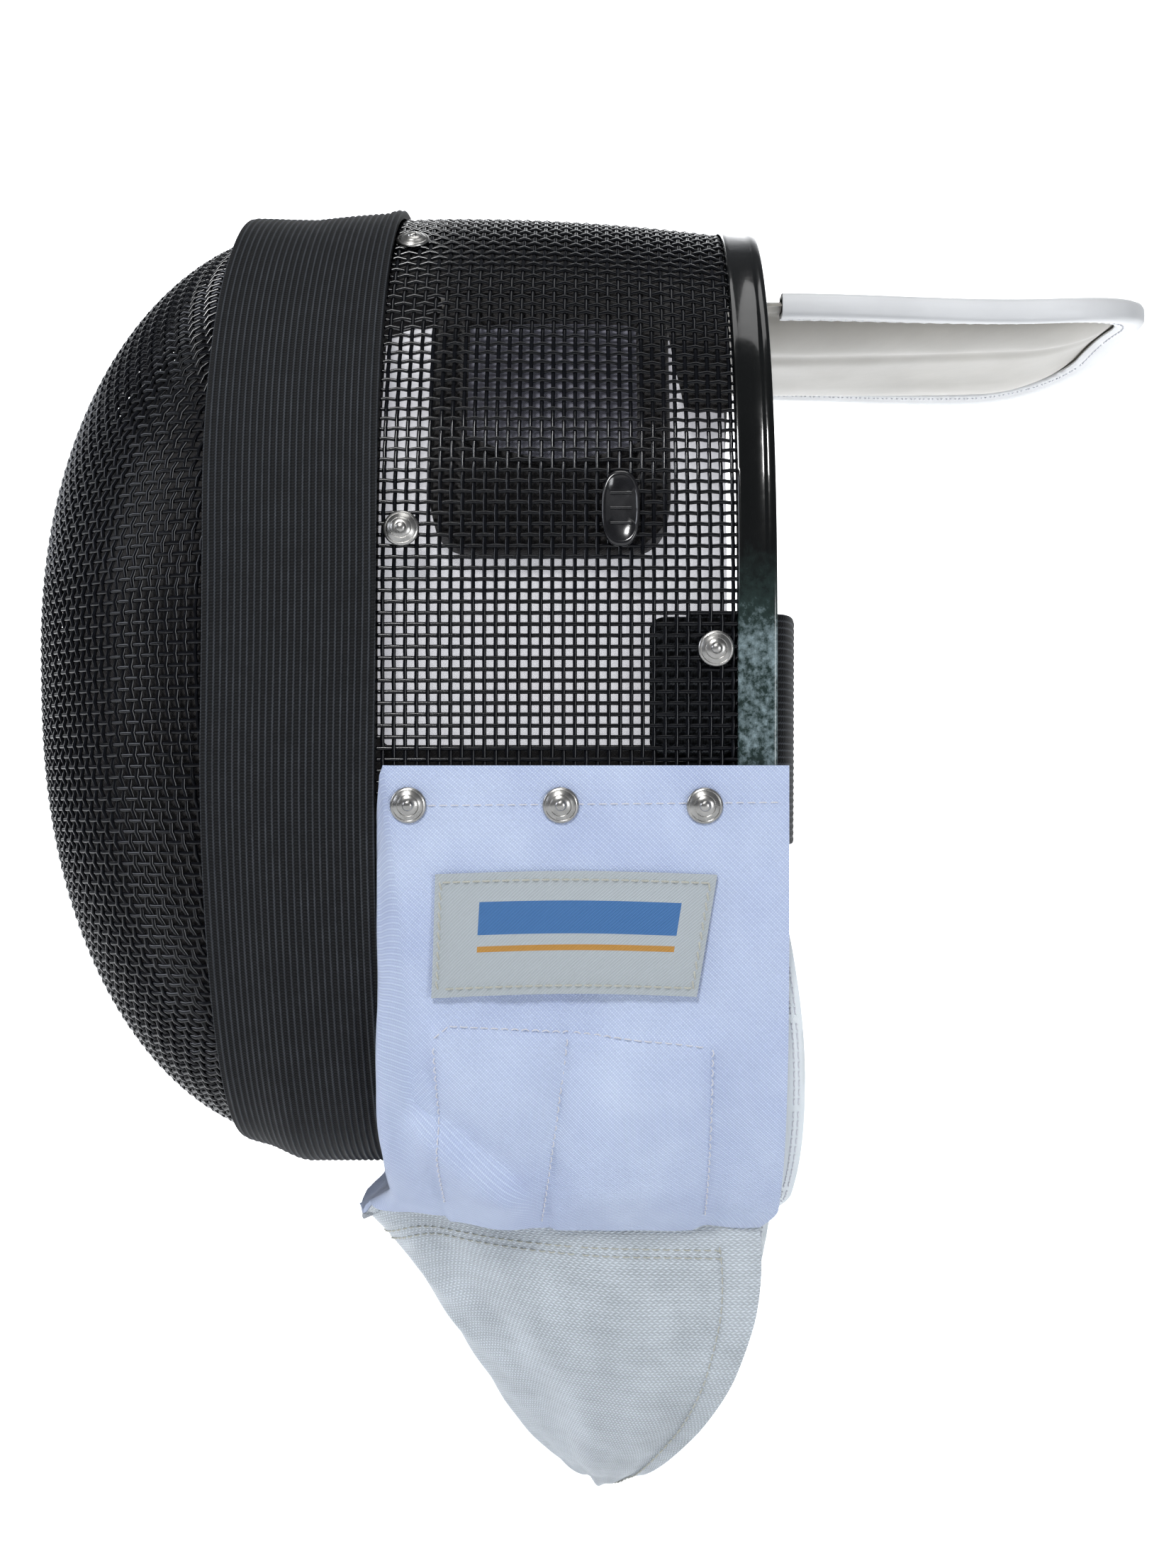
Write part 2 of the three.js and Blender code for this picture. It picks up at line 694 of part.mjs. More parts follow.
function tonguePlan(y, inset) {
  const intoCorner = Math.max(0, y - (tongueTipY - tongueCorner));
  const radius = tongueCorner - inset;
  return tongueHalfWidth - tongueCorner + Math.sqrt(Math.max(0, radius ** 2 - intoCorner ** 2));
}

// The front end lies against the crown of the mesh, and the rest follows the table
function tongueShape(y) {
  const inside = -meshWall - clearance - rivetWasherHeight - clearance;
  const share = (y - tongueFrontY) / (tongueTipY - tongueFrontY);
  const middle = sectionPoint(0, y, inside)[2];
  const edge = sectionPoint(angleAtWidth(tongueHalfWidth, y, inside), y, inside)[2];
  const edgeDip = (tongueThickness - tongueEdgeThickness) / 2;
  const crown = { lift: middle - tongueThickness, arch: middle - edge - edgeDip };
  const first = tongueRows[0];
  const row = share <= first.along ? first : sectionAt(tongueRows, 'along', share);
  const held = { lift: row.lift * tongueLift, arch: row.arch * tongueHalfWidth };
  const blend = smooth(share / first.along);
  return { lift: lerp(crown.lift, held.lift, blend), arch: lerp(crown.arch, held.arch, blend) };
}

function angleAtWidth(half, y, offset) {
  const rise = crownAt(y) + offset;
  const share = Math.min(0.99, half / (meshHalfWidth + offset));
  return Math.atan2(half, rise * (1 - share ** upperPower) ** (1 / upperPower));
}

function tongueHeights(x, y) {
  const { lift, arch } = tongueShape(y);
  const share = Math.min(1, Math.abs(x) / tongueHalfWidth);
  const under = lift - arch * share * share;
  const thick = lerp(tongueThickness, tongueEdgeThickness, share ** 4);
  const dip = (tongueThickness - thick) / 2;
  return { under: under + dip, over: under + dip + thick };
}

function tongueBody() {
  const inset = bindingWall + clearance + facetSlack;
  const cornerY = tongueTipY - tongueCorner;
  const cornerYs = steps(8).map((share) => (
    cornerY + (tongueCorner - inset) * Math.sin((share * Math.PI) / 2)
  ));
  const straight = steps(10).map((share) => lerp(tongueFrontY, cornerY, share)).slice(0, -1);
  const acrossSteps = steps(8).map((share) => 2 * share - 1);
  const rings = [...straight, ...cornerYs].map((y) => {
    const half = tonguePlan(y, inset);
    const point = (share, face) => [half * share, y, tongueHeights(half * share, y)[face]];
    const over = acrossSteps.map((share) => point(share, 'over'));
    const under = acrossSteps.map((share) => point(share, 'under'));
    return [...over, ...under.reverse()];
  });
  return loft(rings, false);
}

// Outline of the tongue from its left edge round the tip to its right edge
function tongueOutline(share) {
  const straight = tongueTipY - tongueCorner - bindingFrontY;
  const corner = (tongueCorner * Math.PI) / 2;
  const flat = tongueHalfWidth - tongueCorner;
  const half = straight + corner + flat;
  const travel = (1 - Math.abs(2 * share - 1)) * half;
  const side = share <= 0.5 ? 1 : -1;
  if (travel <= straight) {
    return { x: side * tongueHalfWidth, y: bindingFrontY + travel, outX: side, outY: 0 };
  }
  if (travel <= straight + corner) {
    const turn = (travel - straight) / tongueCorner;
    return {
      x: side * (flat + tongueCorner * Math.cos(turn)),
      y: tongueTipY - tongueCorner + tongueCorner * Math.sin(turn),
      outX: side * Math.cos(turn),
      outY: Math.sin(turn),
    };
  }
  return { x: side * (half - travel), y: tongueTipY, outX: 0, outY: 1 };
}

function tongueBinding() {
  const rings = steps(30).map((share) => {
    const { x, y, outX, outY } = tongueOutline(share);
    const at = (inset, over, stand) => {
      const px = x - outX * inset;
      const py = y - outY * inset;
      const heights = tongueHeights(px, py);
      return [px, py, over ? heights.over + stand : heights.under - stand];
    };
    const inside = clearance + facetSlack;
    const outside = inside + bindingWall;
    return [
      at(bindingWall, true, inside), at(bindingReach, true, inside), at(bindingReach, true, outside),
      at(0, true, outside), at(0, false, outside), at(bindingReach, false, outside),
      at(bindingReach, false, inside), at(bindingWall, false, inside),
    ];
  });
  return loft(rings, false);
}

// Padding and straps inside the mesh. Their faces are offsets of the mesh.

function insidePanel(side, { frontY, rearY, top, foot, corner }, outer, thickness) {
  const us = steps(7).map((share) => lerp(frontY, rearY, share));
  const vs = steps(6);
  const middle = (frontY + rearY) / 2;
  const reach = (rearY - frontY) / 2;
  const cornerStart = 0.6;
  const point = (y, share, offset) => {
    const edge = Math.min(1, Math.abs(y - middle) / reach);
    const intoCorner = Math.max(0, edge - cornerStart) / (1 - cornerStart);
    const cut = corner * (1 - Math.sqrt(Math.max(0, 1 - intoCorner ** 2)));
    const level = lerp(top - cut, foot + cut, share);
    const angle = angleAt(level, y, offset);
    return mirrored(sectionPoint(angle, y, offset), side);
  };
  const face = (offset) => (y, share) => point(y, share, offset);
  return sheet(us, vs, face(outer), face(outer - thickness));
}

const padOuter = -meshWall - clearance - facetSlack;

function rearStrap() {
  const outer = padOuter - tabWall - clearance;
  const levels = steps(2).map((share) => lerp(strapTop, strapFoot, share));
  const stretch = steps(5).map((share) => ({ y: lerp(strapFrontY, rimY, share) }));
  const bow = steps(7).map((share) => ({ turn: (share * Math.PI) / 2 })).slice(1);
  const leftPath = [...stretch, ...bow];
  const path = [
    ...leftPath.map((spot) => ({ ...spot, side: 1 })),
    ...leftPath.slice(0, -1).reverse().map((spot) => ({ ...spot, side: -1 })),
  ];
  const point = ({ y, turn, side }, level, offset) => {
    if (turn === undefined) return mirrored([halfWidthAt(level, y, offset), y, level], side);
    const width = halfWidthAt(level, rimY, offset);
    const behind = rimY + strapBow * Math.sin(turn) ** 0.8;
    return [side * width * Math.cos(turn), behind + (offset - outer) * Math.sin(turn), level];
  };
  const rings = path.map((spot) => [
    ...levels.map((level) => point(spot, level, outer)),
    ...[...levels].reverse().map((level) => point(spot, level, outer - strapWall)),
  ]);
  return loft(rings, false);
}

place('front_mesh', frontMesh(), finishes.meshBlack);
place('side_mesh', drilled('side_mesh', sideMesh()), finishes.meshBlack);
place('rim', rim(), finishes.rimBlack);
place('elastic_band', elasticBand(), finishes.elasticBlack);
place('bib_collar', drilled('bib_collar', bibCollar()), finishes.collarWhite);
place('bib_apron', bibApron(), finishes.apronSilver);
place('woven_label', wovenLabel(), finishes.labelGrey);
place('size_tag', sizeTag(), finishes.tagBlack);
place('tongue_pad', tongueBody(), finishes.vinylWhite);
place('tongue_binding', tongueBinding(), finishes.vinylWhite);
place('rear_strap', drilled('rear_strap', rearStrap()), finishes.elasticBlack);

for (const [sideName, side] of Object.entries(sides)) {
  place(`inner_bib_${sideName}`, innerBib(side), finishes.innerWhite);
  const pad = insidePanel(side, templePad, padOuter, templePadWall);
  place(`temple_pad_${sideName}`, pad, finishes.padBlack);
  const liningOuter = padOuter - templePadWall - clearance - facetSlack;
  const lining = insidePanel(side, sideLining, liningOuter, liningWall);
  place(`side_lining_${sideName}`, lining, finishes.innerWhite);
  const tab = insidePanel(side, strapTab, padOuter, tabWall);
  place(`strap_tab_${sideName}`, drilled(`strap_tab_${sideName}`, tab), finishes.elasticBlack);
}

for (const { name, seat, normal, depth } of rivets) {
  place(name, rivet(seat, normal, depth), finishes.rivetSilver);
}

export default mask;
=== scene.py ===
import math

import bpy
import numpy as np
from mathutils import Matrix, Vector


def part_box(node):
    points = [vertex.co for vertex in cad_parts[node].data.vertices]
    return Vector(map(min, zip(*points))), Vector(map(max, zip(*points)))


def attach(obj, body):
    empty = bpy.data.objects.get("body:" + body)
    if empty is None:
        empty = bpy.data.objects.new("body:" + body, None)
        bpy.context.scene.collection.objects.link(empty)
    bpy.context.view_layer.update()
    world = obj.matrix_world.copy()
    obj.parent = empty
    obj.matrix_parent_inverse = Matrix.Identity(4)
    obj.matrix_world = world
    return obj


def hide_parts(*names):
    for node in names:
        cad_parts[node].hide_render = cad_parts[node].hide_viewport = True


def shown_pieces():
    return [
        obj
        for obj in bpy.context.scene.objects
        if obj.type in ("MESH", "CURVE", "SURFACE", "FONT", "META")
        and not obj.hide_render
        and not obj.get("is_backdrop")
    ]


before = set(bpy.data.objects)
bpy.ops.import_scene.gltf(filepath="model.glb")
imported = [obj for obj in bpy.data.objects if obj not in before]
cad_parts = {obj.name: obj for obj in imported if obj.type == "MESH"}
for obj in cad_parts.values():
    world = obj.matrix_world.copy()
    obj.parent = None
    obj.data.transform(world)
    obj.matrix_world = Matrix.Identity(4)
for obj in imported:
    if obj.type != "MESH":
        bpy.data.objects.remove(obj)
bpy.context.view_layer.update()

mm = 0.001
print("frame loaded")


# The camera stands level with the jaw, on the +X side

cameraSetup = {"distance": 540 * mm, "level": -127 * mm, "lens": 37.4, "sensor": 36.0}


def makeCamera(setup):
    data = bpy.data.cameras.new("side_camera")
    data.lens = setup["lens"]
    data.sensor_width = setup["sensor"]
    data.clip_start = 0.01
    camera = bpy.data.objects.new("side_camera", data)
    camera.location = (setup["distance"], 0, setup["level"])
    camera.rotation_euler = (math.pi / 2, 0, math.pi / 2)
    bpy.context.scene.collection.objects.link(camera)
    bpy.context.scene.camera = camera


makeCamera(cameraSetup)
print("camera placed")


# Small helpers

def lerp(start, end, share):
    return start + (end - start) * share


def smooth(share):
    held = np.clip(share, 0, 1)
    return held * held * (3 - 2 * held)


def bump(value, centre, width):
    return np.exp(-((value - centre) / width) ** 2)


def stack(*parts):
    return np.stack(np.broadcast_arrays(*parts), axis=-1).astype(float)


def mirrorX(points, side):
    return points * np.array([side, 1.0, 1.0])


def newMesh(name, points, starts, totals, corners, cornerUvs, material, sharp=40):
    mesh = bpy.data.meshes.new(name)
    mesh.vertices.add(len(points))
    mesh.vertices.foreach_set("co", np.asarray(points, np.float32).ravel())
    mesh.loops.add(len(corners))
    mesh.loops.foreach_set("vertex_index", np.asarray(corners, np.int32))
    mesh.polygons.add(len(starts))
    mesh.polygons.foreach_set("loop_start", np.asarray(starts, np.int32))
    mesh.polygons.foreach_set("loop_total", np.asarray(totals, np.int32))
    mesh.update(calc_edges=True)
    if cornerUvs is not None:
        layer = mesh.uv_layers.new(name="cloth")
        layer.data.foreach_set("uv", np.asarray(cornerUvs, np.float32).ravel())
    mesh.shade_smooth()
    mesh.set_sharp_from_angle(angle=math.radians(sharp))
    mesh.materials.append(material)
    piece = bpy.data.objects.new(name, mesh)
    bpy.context.scene.collection.objects.link(piece)
    return piece


def signedVolume(points, quads):
    a, b, c, d = (points[quads[:, k]] for k in range(4))
    return np.sum(a * np.cross(b, c)) + np.sum(a * np.cross(c, d))


# A closed body through rings of points. UVs are lengths in metres, along the rings' run and round them.
def loft(name, rings, closed, material, sharp=40, across=None):
    rings = np.asarray(rings, float)
    count, size = rings.shape[:2]
    along = np.linalg.norm(np.diff(rings, axis=0, append=rings[:1]), axis=2)
    alongUv = np.concatenate([[0], np.cumsum(np.median(along, axis=1))])
    aroundRun = np.linalg.norm(np.diff(rings, axis=1, append=rings[:, :1]), axis=2)
    aroundUv = np.concatenate([[0], np.cumsum(np.median(aroundRun, axis=0))]) if across is None else across
    last = count if closed else count - 1
    i, j = np.meshgrid(np.arange(last), np.arange(size), indexing="ij")
    i, j = i.ravel(), j.ravel()
    step = lambda di, dj: ((i + di) % count) * size + (j + dj) % size
    uv = lambda di, dj: np.stack([alongUv[i + di], aroundUv[j + dj]], axis=1)
    order = [(0, 0), (0, 1), (1, 1), (1, 0)]
    points = rings.reshape(-1, 3)
    quads = np.stack([step(*o) for o in order], axis=1)
    uvs = np.stack([uv(*o) for o in order], axis=1)
    if not closed:
        capQuads, capUvs = [], []
        for ring, turned in ((0, True), (count - 1, False)):
            for near in range(size // 2 - 1):
                far = size - 1 - near
                spots = [near, near + 1, far - 1, far]
                spots = spots[::-1] if turned else spots
                capQuads.append([ring * size + spot for spot in spots])
                capUvs.append([[alongUv[ring], aroundUv[spot]] for spot in spots])
        quads = np.concatenate([quads, capQuads])
        uvs = np.concatenate([uvs, capUvs])
    apart = np.linalg.norm(points[quads] - points[np.roll(quads, 1, axis=1)], axis=2)
    if signedVolume(points, quads) < 0:
        quads, uvs = quads[:, ::-1], uvs[:, ::-1]
        apart = apart[:, ::-1]
    whole = (apart > 1e-7).all(axis=1)
    return meshFromQuads(name, points, quads, uvs, whole, material, sharp)


# Quads with a side of no length, as at a pole, become triangles
def meshFromQuads(name, points, quads, uvs, whole, material, sharp):
    corners, cornerUvs, totals = [], [], []
    keys = np.unique(np.round(points, 7), axis=0, return_inverse=True)
    points, index = keys[0], keys[1].ravel()
    quads = index[quads]
    fine = quads[whole]
    fineUv = uvs[whole]
    distinct = np.array([len(set(q)) == 4 for q in fine]) if len(fine) else np.zeros(0, bool)
    corners.append(fine[distinct].ravel())
    cornerUvs.append(fineUv[distinct].reshape(-1, 2))
    totals.append(np.full(distinct.sum(), 4))
    rest = np.concatenate([quads[~whole], fine[~distinct]])
    restUv = np.concatenate([uvs[~whole], fineUv[~distinct]])
    for quad, quadUv in zip(rest, restUv):
        kept = [k for k in range(4) if quad[k] != quad[k - 1]]
        if len(set(quad[kept])) < 3:
            continue
        corners.append(quad[kept])
        cornerUvs.append(quadUv[kept])
        totals.append([len(kept)])
    corners, totals = np.concatenate(corners), np.concatenate(totals)
    starts = np.concatenate([[0], np.cumsum(totals)[:-1]])
    return newMesh(name, points, starts, totals, corners, np.concatenate(cornerUvs), material, sharp)


# A thin wall from two faces, each an array of columns by rows
def wall(name, outer, inner, material, closed=False, sharp=40, across=None):
    return loft(name, np.concatenate([outer, inner[:, ::-1]], axis=1), closed, material, sharp, across)


# Many round bars, each along its own line of points, joined into one mesh with closed ends
def bars(name, lines, ups, radius, sides, material):
    points, corners, totals, uvs = [], [], [], []
    base = 0
    turns = np.arange(sides) * 2 * math.pi / sides
    for line, up in zip(lines, ups):
        line = np.asarray(line, float)
        count = len(line)
        run = np.gradient(line, axis=0)
        run /= np.linalg.norm(run, axis=1, keepdims=True)
        side = np.cross(run, up)
        side /= np.maximum(np.linalg.norm(side, axis=1, keepdims=True), 1e-12)
        top = np.cross(side, run)
        ring = (np.cos(turns)[None, :, None] * side[:, None] + np.sin(turns)[None, :, None] * top[:, None])
        points.append((line[:, None] + radius * ring).reshape(-1, 3))
        i, j = np.meshgrid(np.arange(count - 1), np.arange(sides), indexing="ij")
        i, j = i.ravel(), j.ravel()
        at = lambda di, dj: base + (i + di) * sides + (j + dj) % sides
        quads = np.stack([at(0, 0), at(0, 1), at(1, 1), at(1, 0)], axis=1)
        corners.append(quads.ravel())
        totals.append(np.full(len(quads), 4))
        length = np.concatenate([[0], np.cumsum(np.linalg.norm(np.diff(line, axis=0), axis=1))])
        around = 2 * math.pi * radius / sides
        uv = lambda di, dj: np.stack([length[i + di], (j + dj) * around], axis=1)
        uvs.append(np.stack([uv(0, 0), uv(0, 1), uv(1, 1), uv(1, 0)], axis=1).reshape(-1, 2))
        for start, order in ((base, range(sides - 1, -1, -1)), (base + (count - 1) * sides, range(sides))):
            corners.append(np.array([start + k for k in order]))
            totals.append([sides])
            uvs.append(np.zeros((sides, 2)))
        base += count * sides
    corners, totals = np.concatenate(corners), np.concatenate(totals)
    starts = np.concatenate([[0], np.cumsum(totals)[:-1]])
    return newMesh(name, np.concatenate(points), starts, totals, corners, np.concatenate(uvs), material, 60)


def finishPiece(piece, slot, *nodes):
    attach(piece, "root")
    if nodes:
        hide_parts(*nodes)
    return piece


# Materials

class NodeTree:
    def __init__(self, name):
        self.material = bpy.data.materials.new(name)
        self.material.use_nodes = True
        self.nodes = self.material.node_tree.nodes
        self.links = self.material.node_tree.links
        self.shader = self.nodes["Principled BSDF"]

    def add(self, kind, **settings):
        node = self.nodes.new(kind)
        for key, value in settings.items():
            setattr(node, key, value)
        return node

    def join(self, output, target):
        self.links.new(output, target)

    def math(self, operation, first, second=None):
        node = self.add("ShaderNodeMath", operation=operation)
        for socket, value in zip(node.inputs, (first, second)):
            if value is None:
                continue
            if isinstance(value, (int, float)):
                socket.default_value = value
            else:
                self.join(value, socket)
        return node.outputs[0]

    def set(self, **values):
        names = {
            "color": "Base Color", "metallic": "Metallic", "roughness": "Roughness", "coat": "Coat Weight",
            "coatRoughness": "Coat Roughness", "sheen": "Sheen Weight", "sheenRoughness": "Sheen Roughness",
            "specular": "Specular IOR Level", "glow": "Emission Color", "glowStrength": "Emission Strength",
        }
        for key, value in values.items():
            self.shader.inputs[names[key]].default_value = value

    # Lengths along and across the cloth, in weave pitches
    def uv(self, pitch):
        node = self.add("ShaderNodeUVMap", uv_map="cloth")
        parts = self.add("ShaderNodeSeparateXYZ")
        self.join(node.outputs[0], parts.inputs[0])
        return [self.math("MULTIPLY", parts.outputs[axis], 1 / pitch) for axis in (0, 1)]

    def wave(self, value, turn=0.0):
        return self.math("SINE", self.math("ADD", self.math("MULTIPLY", value, 2 * math.pi), turn))

    def noise(self, scale, detail=3.0, roughness=0.5):
        place = self.add("ShaderNodeTexCoord")
        node = self.add("ShaderNodeTexNoise")
        node.inputs["Scale"].default_value = scale
        node.inputs["Detail"].default_value = detail
        node.inputs["Roughness"].default_value = roughness
        self.join(place.outputs["Object"], node.inputs["Vector"])
        return node.outputs["Fac"]

    def ramp(self, value, stops):
        node = self.add("ShaderNodeValToRGB")
        elements = node.color_ramp.elements
        while len(elements) < len(stops):
            elements.new(0.5)
        for element, (place, color) in zip(elements, stops):
            element.position = place
            element.color = (*color, 1) if len(color) == 3 else color
        self.join(value, node.inputs[0])
        return node.outputs[0]

    def rangeOf(self, value, low, high):
        node = self.add("ShaderNodeMapRange")
        node.inputs["To Min"].default_value = low
        node.inputs["To Max"].default_value = high
        self.join(value, node.inputs["Value"])
        return node.outputs[0]

    def color(self, output):
        self.join(output, self.shader.inputs["Base Color"])

    def rough(self, output):
        self.join(output, self.shader.inputs["Roughness"])

    def height(self, value, distance, strength=1.0, below=None):
        node = self.add("ShaderNodeBump")
        node.inputs["Distance"].default_value = distance
        node.inputs["Strength"].default_value = strength
        self.join(value, node.inputs["Height"])
        if below is not None:
            self.join(below, node.inputs["Normal"])
        self.join(node.outputs[0], self.shader.inputs["Normal"])
        return node.outputs[0]


# Plain or twill weave: threads along and across, with a diagonal rib where twill is more than 0
def weaveHeight(tree, pitch, twill=0.0):
    u, v = tree.uv(pitch)
    plain = tree.math("MULTIPLY", tree.wave(u), tree.wave(v))
    if twill <= 0:
        return plain
    diagonal = tree.wave(tree.math("MULTIPLY", tree.math("ADD", u, v), 0.5))
    return tree.math("ADD", tree.math("MULTIPLY", plain, 1 - twill), tree.math("MULTIPLY", diagonal, twill))


def scaled(color, share):
    return tuple(share * channel for channel in color)


# Pitch is the length of one over-and-under of the weave, and depth is how far its threads stand out
clothFinish = {
    "collar_twill": {
        "dark": (0.35, 0.42, 0.67), "light": (0.74, 0.84, 1.0), "pitch": 0.86 * mm, "depth": 0.12 * mm,
        "twill": 0.19,
    },
    "inner_bib_cloth": {
        "dark": (0.78, 0.85, 0.89), "light": (0.94, 0.98, 1.0), "pitch": 0.5 * mm, "depth": 0.05 * mm,
        "rough": 0.7,
    },
    "lining_cloth": {
        "dark": (0.84, 0.84, 0.86), "light": (0.95, 0.95, 0.96), "pitch": 0.7 * mm, "depth": 0.08 * mm,
        "glow": (0.93, 0.93, 1.0), "glowStrength": 0.36,
    },
    # A pale cloth coloured a dark grey-lavender: painted shade
    "padding_face_painted_shade_cloth": {
        "dark": (0.16, 0.16, 0.2), "light": (0.32, 0.32, 0.39), "pitch": 0.7 * mm, "depth": 0.08 * mm,
    },
    "pad_cloth": {
        "dark": (0.006, 0.0055, 0.0055), "light": (0.03, 0.027, 0.027), "pitch": 0.8 * mm, "twill": 0.3,
        "depth": 0.1 * mm,
    },
}


def clothMaterial(name):
    values = {"twill": 0.0, "rough": 0.85, "sheen": 0.25, **clothFinish[name]}
    tree = NodeTree(name)
    height = weaveHeight(tree, values["pitch"], values["twill"])
    patches = tree.noise(38, 4)
    mixed = tree.math("ADD", tree.rangeOf(height, 0.25, 0.6), tree.math("MULTIPLY", patches, 0.35))
    tree.color(tree.ramp(mixed, [(0.25, values["dark"]), (0.8, values["light"])]))
    tree.rough(tree.rangeOf(patches, values["rough"] - 0.08, min(1, values["rough"] + 0.08)))
    tree.set(sheen=values["sheen"], sheenRoughness=0.5)
    creases = tree.noise(120, 3)
    soft = tree.height(creases, 0.4 * mm, 0.25)
    tree.height(height, values["depth"], 0.8, soft)
    # Stands for the daylight that comes through a thin cloth from inside the mask
    if "glow" in values:
        tree.set(glow=(*values["glow"], 1), glowStrength=values["glowStrength"])
    return tree.material


wireFinish = {
    "color": (0.002, 0.0023, 0.0034), "wearAndSheen": 2.2, "rough": (0.1, 0.22), "coat": 0.4, "coatRough": 0.06,
    "specular": 0.12,
}


def wireMaterial(values):
    tree = NodeTree("coated_wire")
    tree.set(coat=values["coat"], coatRoughness=values["coatRough"], specular=values["specular"])
    wearAndSheen = tree.noise(240, 4)
    tree.rough(tree.rangeOf(wearAndSheen, *values["rough"]))
    tree.color(tree.ramp(wearAndSheen, [(0.3, values["color"]), (0.8, scaled(values["color"], values["wearAndSheen"]))]))
    tree.height(tree.noise(1500, 2), 0.03 * mm, 0.5)
    return tree.material


# The two lighter colours are a painted reflection, mottled over the strip's lower half
rimFinish = {
    "color": (0.003, 0.0035, 0.0035), "rough": (0.08, 0.26), "wave": 0.3 * mm, "coat": 0.45,
    "coatRough": 0.06, "specular": 0.3, "wearAndSheen": (0.02, 0.035, 0.032), "reflectionMottle": (0.33, 0.43, 0.46),
    "reflectionTop": -40 * mm, "reflectionFull": -95 * mm,
}


# Black gloss, with a mottled grey-green reflection painted on its lower half
def rimMaterial(values):
    tree = NodeTree("gloss_black_strip")
    tree.set(coat=values["coat"], coatRoughness=values["coatRough"], specular=values["specular"])
    reflectionMottle = tree.noise(70, 5, 0.6)
    place = tree.add("ShaderNodeTexCoord")
    parts = tree.add("ShaderNodeSeparateXYZ")
    tree.join(place.outputs["Object"], parts.inputs[0])
    # Painted reflection: a mask that grows from the strip's middle down to its lower edge
    wearAndSheen = tree.add("ShaderNodeMapRange", interpolation_type="SMOOTHSTEP")
    wearAndSheen.inputs["From Min"].default_value = values["reflectionTop"]
    wearAndSheen.inputs["From Max"].default_value = values["reflectionFull"]
    tree.join(parts.outputs[2], wearAndSheen.inputs["Value"])
    reflectionPatches = tree.math("MULTIPLY", reflectionMottle, 0.5)
    speckle = tree.math("ADD", reflectionPatches, tree.math("MULTIPLY", tree.noise(520, 4, 0.7), 0.6))
    share = tree.math("MULTIPLY", speckle, wearAndSheen.outputs[0])
    tree.color(tree.ramp(share, [(0.2, values["color"]), (0.46, values["wearAndSheen"]), (0.75, values["reflectionMottle"])]))
    tree.rough(tree.rangeOf(reflectionMottle, *values["rough"]))
    tree.height(tree.noise(90, 3), values["wave"], 0.5)
    return tree.material


elasticFinish = {
    "dark": (0.0025, 0.0028, 0.0035), "rung": (0.014, 0.016, 0.019), "ridge": (0.06, 0.066, 0.075),
    "stitch": 0.9 * mm, "rib": 1.86 * mm, "relief": 0.35 * mm, "rough": 0.7, "specular": 0.25,
}


# Raised cords along the elastic, with small rungs between them
def elasticMaterial(values):
    tree = NodeTree("ribbed_elastic")
    u, v = tree.uv(values["rib"])
    stitches = tree.math("MULTIPLY", u, values["rib"] / values["stitch"])
    rungs = tree.wave(stitches)
    wobble = tree.math("MULTIPLY", tree.wave(stitches, 1.2), 0.05)
    across = tree.wave(tree.math("ADD", v, wobble), math.pi / 2)
    spread = tree.math("ADD", tree.math("MULTIPLY", across, 0.5), 0.5)
    ridge = tree.math("POWER", spread, 4.0)
    rung = tree.math("MULTIPLY", tree.math("MAXIMUM", rungs, 0.0), tree.math("SUBTRACT", 1.0, spread))
    wearAndSheen = tree.rangeOf(tree.noise(160, 4), 0.55, 1.25)
    level = tree.math("ADD", tree.math("MULTIPLY", ridge, 0.95), tree.math("MULTIPLY", rung, 0.4))
    shown = tree.math("MULTIPLY", level, wearAndSheen)
    # Painted shade and highlight: the colour is darkest in the grooves between the cords and lightest on
    # their tops
    tree.color(tree.ramp(shown, [(0.04, values["dark"]), (0.35, values["rung"]), (0.95, values["ridge"])]))
    tree.set(roughness=values["rough"], specular=values["specular"])
    tree.height(level, values["relief"], 0.8)
    return tree.material


apronFinish = {
    "dark": (0.28, 0.31, 0.335), "light": (0.78, 0.84, 0.9), "pitch": 0.9 * mm, "row": 5.2 * mm,
    "metallic": 0.25, "rough": (0.42, 0.62), "crinkle": 0.8 * mm, "depth": 0.16 * mm,
}


# Fine zigzag knit with faint rows across it
def apronMaterial(values):
    tree = NodeTree("silver_knit")
    u, v = tree.uv(values["pitch"])
    sway = tree.wave(tree.math("MULTIPLY", v, 0.5))
    zigzag = tree.wave(tree.math("ADD", u, tree.math("MULTIPLY", sway, 0.35)))
    course = tree.wave(v)
    knit = tree.math("ADD", tree.math("MULTIPLY", zigzag, 0.6), tree.math("MULTIPLY", course, 0.4))
    rows = tree.math("MULTIPLY", v, values["pitch"] / values["row"])
    seam = tree.math("POWER", tree.math("ABSOLUTE", tree.wave(tree.math("MULTIPLY", rows, 0.5))), 0.12)
    patches = tree.noise(60, 5)
    mixed = tree.math("ADD", tree.rangeOf(knit, 0.2, 0.55), tree.math("MULTIPLY", patches, 0.4))
    shown = tree.math("MULTIPLY", mixed, tree.rangeOf(seam, 0.8, 1.0))
    tree.color(tree.ramp(shown, [(0.2, values["dark"]), (0.75, values["light"])]))
    tree.set(metallic=values["metallic"], sheen=0.2)
    tree.rough(tree.rangeOf(patches, *values["rough"]))
    crinkle = tree.height(tree.noise(150, 5, 0.65), values["crinkle"], 0.35)
    tree.height(knit, values["depth"], 0.8, crinkle)
    return tree.material


vinylFinish = {
    "white_vinyl": {"low": (0.6, 0.61, 0.62), "high": (0.74, 0.75, 0.76), "grain": 900},
    # The cover is the piping's white vinyl made a darker warm grey: painted shade for the tongue's underside
    "tongue_cover_painted_shade_vinyl": {"low": (0.285, 0.27, 0.24), "high": (0.365, 0.345, 0.305), "grain": 900},
}


